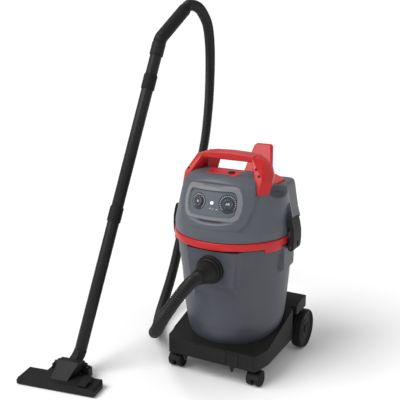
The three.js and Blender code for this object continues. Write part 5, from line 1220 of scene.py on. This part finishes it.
def digits(text, height):
    """Raised bars that spell a number round the local origin."""
    half = height / 2
    places = []
    for i, digit in enumerate(text):
        middle = (i - (len(text) - 1) / 2) * height * 0.72
        for bar in DIGITS[digit]:
            x, y, turn = SEGMENTS[bar]
            places.append([middle + x * half * 0.9, y * half, math.radians(turn)])
    return bars(places, half, half * 0.3, 0.4)


def bars(places, length, width, height):
    """Small raised marks: [x, y, turn] of each, long along its own turn."""
    points, faces = [], []
    foot = [[-1, -1, 0], [1, -1, 0], [1, 1, 0], [-1, 1, 0]]
    top = [[u, v, 1] for u, v, _ in foot]
    u, v, rise = (np.array(foot + top) * [length / 2, width / 2, height]).T
    box = [[3, 2, 1, 0], [4, 5, 6, 7], [0, 1, 5, 4], [1, 2, 6, 5], [2, 3, 7, 6], [3, 0, 4, 7]]
    for x, y, turn in places:
        c, s = math.cos(turn), math.sin(turn)
        faces.extend([[k + len(points) * 8 for k in face] for face in box])
        points.append(np.stack([u * c - v * s + x, u * s + v * c + y, rise], 1))
    return np.concatenate(points), faces


def fan_of(radius, sweep, count):
    """[x, y, turn] of marks that point outwards, from -sweep to sweep degrees off the top."""
    turns = np.linspace(-math.radians(sweep), math.radians(sweep), count)
    return [[radius * math.sin(a), radius * math.cos(a), math.pi / 2 - a] for a in turns]


def on_dome(flat, out):
    """Points [x, z] moved forward to a distance in front of the dome's face."""
    x, z = flat[..., 0], flat[..., 1]
    return np.stack([x, -np.sqrt((dome_radius(z) + out) ** 2 - x**2), z], -1)


class VACUUM_OT_panel(bpy.types.Operator):
    """Panel insert on the dome's curve, its dials with ticks, and the lamp."""

    bl_idname = "vacuum.panel"
    bl_label = "Control panel"

    def execute(self, context):
        sizes = context.scene.vacuum_sizes
        half = np.array(PANEL_OUTLINE, float)
        loop = rounded(np.vstack([half, half[::-1] * [-1, 1]]), 6, 5)
        loop, _ = evenly(np.vstack([loop, loop[:1]]), 161)
        loop = loop[:-1]
        middle = np.array([0, np.mean(half[:, 1])])
        # rows of the insert from its middle out, and how far its rounded edge drops
        share = np.concatenate([np.linspace(0.04, 0.94, 20), [0.975, 0.993, 1.0]])
        drop = np.concatenate([np.zeros(20), [0.1, 0.4, 0.9]])
        flat = middle + (loop - middle)[None] * share[:, None, None] * PANEL_SHRINK
        front = on_dome(flat, PANEL_PROUD - drop[:, None])
        back = on_dome(flat, -PANEL_DEPTH)
        grid = np.concatenate([front, back[::-1][[0, 8, 16, 22]]])
        piece("panel_skin", grid_mesh(grid), "head", "panel", ["panel_face"], sharp=60)
        for name, x in DIAL_XS.items():
            self.dial(name, x, sizes)
        self.lamp()
        return {"FINISHED"}

    def dial(self, name, x, sizes):
        """A fluted knob with ticks, number and red pointer, and the printed ring behind it."""
        place = panel_place(x)
        radius = sizes.dial_radius / MM
        seat = RUN + FIT
        top = seat + DIAL_HEIGHT
        profile = [
            [4, -10],
            [4, seat],
            [radius - 0.8, seat],
            [radius, seat + 0.8],
            [radius, top - 1.6],
            [radius - 1.2, top],
            [radius * 0.62, top],
            [radius * 0.60, top - 0.7],
            [radius * 0.10, top - 0.7],
        ]
        grid = revolved(rounded(profile, 0.4, 3, False), 144)
        flute = FLUTE_DEPTH * (0.5 + 0.5 * np.cos(around(144) * DIAL_FLUTES))
        reach = np.hypot(grid[..., 0], grid[..., 1])
        side = smooth_step((reach - radius * 0.93) / (radius * 0.05)) * (grid[..., 2] > seat + 0.5)
        grid[..., :2] *= (1 - side * flute[None] / radius)[..., None]
        piece(name + "_skin", grid_mesh(turned(grid, *place)), name, "dial", [name])
        ticks = fan_of(radius * 0.82, TICK_SWEEP, sizes.dial_ticks)
        for part, (points, faces), height, finish in (
            ("_ticks", bars(ticks, radius * 0.10, 0.6, 0.25), top - 0.1, "ink"),
            ("_pointer", bars([[radius * 0.80, 0, 0]], radius * 0.30, 1.4, 0.3), top - 0.1, "warn"),
            ("_number", digits(DIAL_TEXT[name], radius * 0.34), top - 0.8, "ink"),
        ):
            points[:, 2] += height
            piece(name + part, (turned(points, *place), faces), name, finish)
        outer = DIAL_SCALE_RADII[name]
        for part, inner, rim, lift, finish in (
            ("_scale", radius + 0.6, outer, 0.30, "dial"),
            ("_rim", outer, outer + 1.2, 0.6, "black"),
        ):
            ring = np.linspace(inner, rim, 5)
            profile = [[ring[0], -1.0], *[[r, lift] for r in ring], [ring[-1], -1.0]]
            plate = self.on_panel(turned(revolved(profile, 96), *place), profile)
            piece(name + part, grid_mesh(plate, ends="ring"), "head", finish)
        ticks = fan_of(outer * 0.88, SCALE_SWEEP, 2 * sizes.dial_ticks - 1)
        marks = bars(ticks, outer * 0.12, 1.25, MARK_HEIGHT)
        self.print_on_panel(name + "_scale_marks", marks, place, 0.40)

    def on_panel(self, grid, profile):
        """A grid moved square onto the dome's curve, each row at its height over the insert."""
        lift = np.array([h for _, h in profile])[:, None]
        reach = dome_radius(grid[..., 2]) + PANEL_PROUD + lift
        flat = np.hypot(grid[..., 0], grid[..., 1])
        grid[..., :2] *= (reach / flat)[..., None]
        return grid

    def print_on_panel(self, name, marks, place, lift):
        """Raised marks whose feet all stand at one height over the insert."""
        points, faces = marks
        spots = self.on_panel(turned(points, *place)[None], [[0, lift]])[0]
        spots[:, :2] *= (1 + points[:, 2] / MARK_REACH)[:, None]
        piece(name, (spots, faces), "head", "ink")

    def lamp(self):
        """A domed lens between the dials, with three marks over it."""
        place = panel_place(LAMP_X)
        dome = [[1, 1.5], [0.8, 2.6], [0.4, 3.2]]  # share of the radius, height over the seat
        profile = [[LAMP_RADIUS * share, RUN + rise] for share, rise in dome]
        profile = [[LAMP_RADIUS, -2], *profile, [0.4, RUN + 3.3]]
        grid = revolved(rounded(profile, 0.6, 3, False), 48)
        marks = bars(PANEL_MARKS, 4.5, 1.4, MARK_HEIGHT)
        self.print_on_panel("panel_marks", marks, place, 0.45)
        shape = grid_mesh(turned(grid, *place))
        piece("panel_lamp_skin", shape, "head", "lens", ["panel_lamp"])


SOFTENED = {
    # CAD nodes of each look, and their edges' rounding as a share of the edge_round size
    "red": {"carry_handle": 2.6, "top_plate": 0.8, "back_plate": 0.8, "cord_post": 1.6},
    "black": {
        "cleaning_key": 0.4,
        "latch_left": 1.0,
        "latch_right": 1.0,
        "trolley": 2.4,
        "front_cover": 0.6,
        "caster_fork_left": 0.6,
        "caster_fork_right": 0.6,
        "foot_peg_left": 0.6,
        "foot_peg_right": 0.6,
        "nozzle_neck": 0.8,
        "nozzle_body": 2.4,
        "nozzle_pedal": 0.6,
        "nozzle_sole": 0.4,
    },
    "drum": {"latch_bracket_left": 0.5, "latch_bracket_right": 0.5},
}


class VACUUM_OT_fittings(bpy.types.Operator):
    """Red handle and plates, latches, trolley, forks and nozzle: CAD copies with rounded edges."""

    bl_idname = "vacuum.fittings"
    bl_label = "Moulded fittings"

    def execute(self, context):
        edge = context.scene.vacuum_sizes.edge_round
        for finish, nodes in SOFTENED.items():
            for node, share in nodes.items():
                softened(node, finish, edge * share)
        self.screws()
        self.front_details()
        return {"FINISHED"}

    def screws(self):
        """Sunk screw heads in the legs of the handle, each square to the face that it lies in; their
        black is painted shade for the holes that they sit in.
        """
        for i, (spot, out) in enumerate(SCREWS):
            out = np.array(out)
            side = np.cross([0, 0, 1], out)
            side /= np.linalg.norm(side)
            edge = [[1, -1], [1, 0.3], [0.8, 0.3], [0.6, 0.1]]
            profile = [*[[SCREW_RADIUS * share, z] for share, z in edge], [CORE, 0.1]]
            grid = turned(revolved(profile, 24), spot, side, np.cross(out, side), out)
            piece("handle_screw_%d" % i, grid_mesh(grid), "head", "black")

    def front_details(self):
        """Block, lip and vent on the front of the trolley beside its cover; the vent's darker rubber
        is painted shade for its opening.
        """
        for name, (x0, x1, y, z0, z1, proud), finish in TROLLEY_DETAILS:
            middle = [(x0 + x1) / 2, (z0 + z1) / 2, 0]
            points, faces = bars([middle], x1 - x0, z1 - z0, proud)
            grid = turned(points, [0, y, 0], [1, 0, 0], [0, 0, 1], [0, -1, 0])
            piece(name, (grid, faces), "base", finish, bevel=0.0012)


class VACUUM_OT_wheels(bpy.types.Operator):
    """Rear hubs, tyres and caps, and the twin casters, all turned from their profiles."""

    bl_idname = "vacuum.wheels"
    bl_label = "Wheels"

    def execute(self, context):
        for side, sign in (("left", -1), ("right", 1)):
            body = body_of("rear_wheel_" + side)
            origin = [sign * WHEEL_INNER_X, AXLE_Y, WHEEL_RADIUS]
            axes = ([0, 1, 0], [0, 0, sign], [sign, 0, 0])
            for node, profile, finish, ends in (
                ("rear_wheel_", HUB_PROFILE, "black", "ring"),
                ("rear_tyre_", TYRE_PROFILE, "rubber", "ring"),
                ("axle_cap_", [[max(r, CORE), z] for r, z in CAP_PROFILE], "black", "closed"),
            ):
                node += side
                outline = rounded(profile, 1.0, 3, ends == "ring")
                grid = turned(revolved(outline, 120), origin, *axes)
                piece(node + "_skin", grid_mesh(grid, ends=ends), body, finish, [node], sharp=45)
            middle = [sign * CASTER_X, CASTER_Y, CASTER_RADIUS]
            half = [[max(r, CORE), z] for r, z in CASTER_PROFILE]
            profile = [[r, -z] for r, z in reversed(half)] + half[1:]
            axes = ([0, 1, 0], [0, 0, 1], [1, 0, 0])
            grid = turned(revolved(rounded(profile, 0.7, 3, False), 72), middle, *axes)
            node = "caster_wheels_" + side
            piece(node + "_skin", grid_mesh(grid), body_of(node), "rubber", [node], sharp=45)
        return {"FINISHED"}


class VACUUM_OT_wand(bpy.types.Operator):
    """Wand: two tubes, their ribbed sleeves, the bent hand pipe, its air ring and the grip."""

    bl_idname = "vacuum.wand"
    bl_label = "Wand"

    def execute(self, context):
        bore = TUBE_RADIUS - TUBE_WALL
        pitch = TUBE_LENGTH - TUBE_NECK + FIT
        for start, name in ((0, "lower"), (pitch, "upper")):
            end = start + TUBE_LENGTH
            neck = end - TUBE_NECK
            narrow = TUBE_NECK_RADIUS - TUBE_WALL
            profile = [
                [TUBE_RADIUS, start],
                [TUBE_RADIUS, neck - TUBE_WALL],
                [TUBE_NECK_RADIUS, neck],
                [TUBE_NECK_RADIUS, end],
                [narrow, end],
                [narrow, neck],
                [bore, neck - TUBE_WALL * 2],
                [bore, start],
            ]
            self.tube("tube_" + name, revolved(rounded(profile, 0.5), 56), "tube", 34)
            middle, half = start + pitch, SLEEVE_LENGTH / 2
            z = np.linspace(middle - half, middle + half, SLEEVE_RIDGES * 8 + 1)
            phase = (z - z[0]) / SLEEVE_LENGTH * SLEEVE_RIDGES * 2 * math.pi
            ends = smooth_step((half - np.abs(z - middle)) / 3)
            ridge = SLEEVE_RIDGE * (1 + np.cos(phase)) / 2
            r = SLEEVE_RADIUS - SLEEVE_END_DROP * (1 - ends) - ridge
            profile = [*np.stack([r, z], 1), [TUBE_RADIUS + FIT, z[-1]], [TUBE_RADIUS + FIT, z[0]]]
            self.tube("joint_sleeve_" + name, revolved(profile, 56), "rubber", 50)
        self.hand(bore)
        return {"FINISHED"}

    def tube(self, node, grid, finish, sharp, body="base"):
        """A hollow piece of the wand in place of its node."""
        shape = grid_mesh(on_wand(grid), ends="ring")
        piece(node + "_skin", shape, body, finish, [node], sharp=sharp)

    def hand(self, bore):
        """The bent hand pipe, the ring round it, and the grip with its ridges and steps."""
        length = HAND_STRAIGHT + HAND_BEND_RADIUS * math.radians(HAND_BEND) + HAND_UPPER
        s = np.linspace(0, length, 120)
        stations = [[at, TUBE_RADIUS] for at in s] + [[at, bore] for at in s[::-1]]
        self.tube("hand_pipe", hand_rings(stations), "tube", 50)
        start, end, radius = AIR_RING
        middle = (start + end) / 2
        profile = [
            [start, radius - 1],
            [start + 1, radius],
            [middle - 1.2, radius],
            [middle - 0.8, radius - 1],
            [middle + 0.8, radius - 1],
            [middle + 1.2, radius],
            [end - 1, radius],
            [end, radius - 1],
            [end, TUBE_RADIUS + FIT],
            [start, TUBE_RADIUS + FIT],
        ]
        self.tube("air_ring", hand_rings(profile, 64), "black", 40, "air_ring")
        start = end + FIT
        s = np.linspace(start, start + GRIP_LENGTH, int(GRIP_LENGTH / GRIP_RIDGE_PITCH) * 6 + 1)
        step = ((s - start) / GRIP_LENGTH * GRIP_STEPS) % 1
        groove = smooth_step((step - 0.72) / 0.2) * smooth_step((1 - step) / 0.08)
        ridge = (1 + np.cos((s - start) / GRIP_RIDGE_PITCH * 2 * math.pi)) / 2
        ends = smooth_step((GRIP_LENGTH / 2 - np.abs(s - start - GRIP_LENGTH / 2)) / 4)
        r = GRIP_RADIUS - GRIP_STEP * groove - GRIP_RIDGE * ridge - GRIP_END_DROP * (1 - ends)
        stop = length + FIT
        seat = TUBE_RADIUS + FIT
        stations = [*np.stack([s, r], 1), [s[-1], HOSE_BORE], [stop, HOSE_BORE], [stop, seat]]
        stations += [[at, seat] for at in np.linspace(length, start, 40)]
        self.tube("hand_grip", hand_rings(stations, 48), "rubber", 50)


class VACUUM_OT_inside(bpy.types.Operator):
    """Materials of the CAD nodes that stay as they are."""

    bl_idname = "vacuum.inside"
    bl_label = "Inner parts"

    def execute(self, context):
        finishes = {
            "steel": ["rear_axle", "pedal_pin", "motor_shaft", "fan_wheel"],
            "dial": ["latch_pin_left", "latch_pin_right"],
            "rubber": ["head_seal", "cord_gland"],
            "black": ["motor_plate", "float_cage", "brush_front", "brush_rear"],
            "natural": ["motor_housing", "float"],
            "foam": ["exhaust_foam"],
            "paper": ["filter"],
        }
        for finish, nodes in finishes.items():
            for node in nodes:
                materials = frame["nodes"][node].data.materials
                for i in range(len(materials)):
                    materials[i] = look[finish]
                if not len(materials):
                    materials.append(look[finish])
        return {"FINISHED"}


STEPS = (
    *("stage", "wand", "inlet", "hose", "tank", "head"),
    *("band", "panel", "fittings", "wheels", "inside"),
)


class VACUUM_PT_panel(bpy.types.Panel):
    """Sidebar panel with one button for each step."""

    bl_idname = "VACUUM_PT_panel"
    bl_label = "Shop vacuum"
    bl_space_type = "VIEW_3D"
    bl_region_type = "UI"
    bl_category = "Vacuum"

    def draw(self, context):
        for step in STEPS:
            self.layout.operator("vacuum." + step)
        for group in (context.scene.vacuum_sizes, context.scene.vacuum_colours):
            for name in group.__annotations__:
                self.layout.prop(group, name)


CLASSES = (
    VacuumSizes,
    VacuumColours,
    VACUUM_OT_stage,
    VACUUM_OT_hose,
    VACUUM_OT_inlet,
    VACUUM_OT_tank,
    VACUUM_OT_head,
    VACUUM_OT_band,
    VACUUM_OT_panel,
    VACUUM_OT_fittings,
    VACUUM_OT_wheels,
    VACUUM_OT_wand,
    VACUUM_OT_inside,
    VACUUM_PT_panel,
)


def register():
    for cls in CLASSES:
        bpy.utils.register_class(cls)
    bpy.types.Scene.vacuum_sizes = bpy.props.PointerProperty(type=VacuumSizes)
    bpy.types.Scene.vacuum_colours = bpy.props.PointerProperty(type=VacuumColours)


def unregister():
    del bpy.types.Scene.vacuum_colours
    del bpy.types.Scene.vacuum_sizes
    for cls in reversed(CLASSES):
        bpy.utils.unregister_class(cls)


def main():
    """Registers the add-on and builds every piece."""
    register()
    make_looks(bpy.context.scene.vacuum_colours)
    for step in STEPS:
        getattr(bpy.ops.vacuum, step)()


if __name__ == "__main__":
    main()
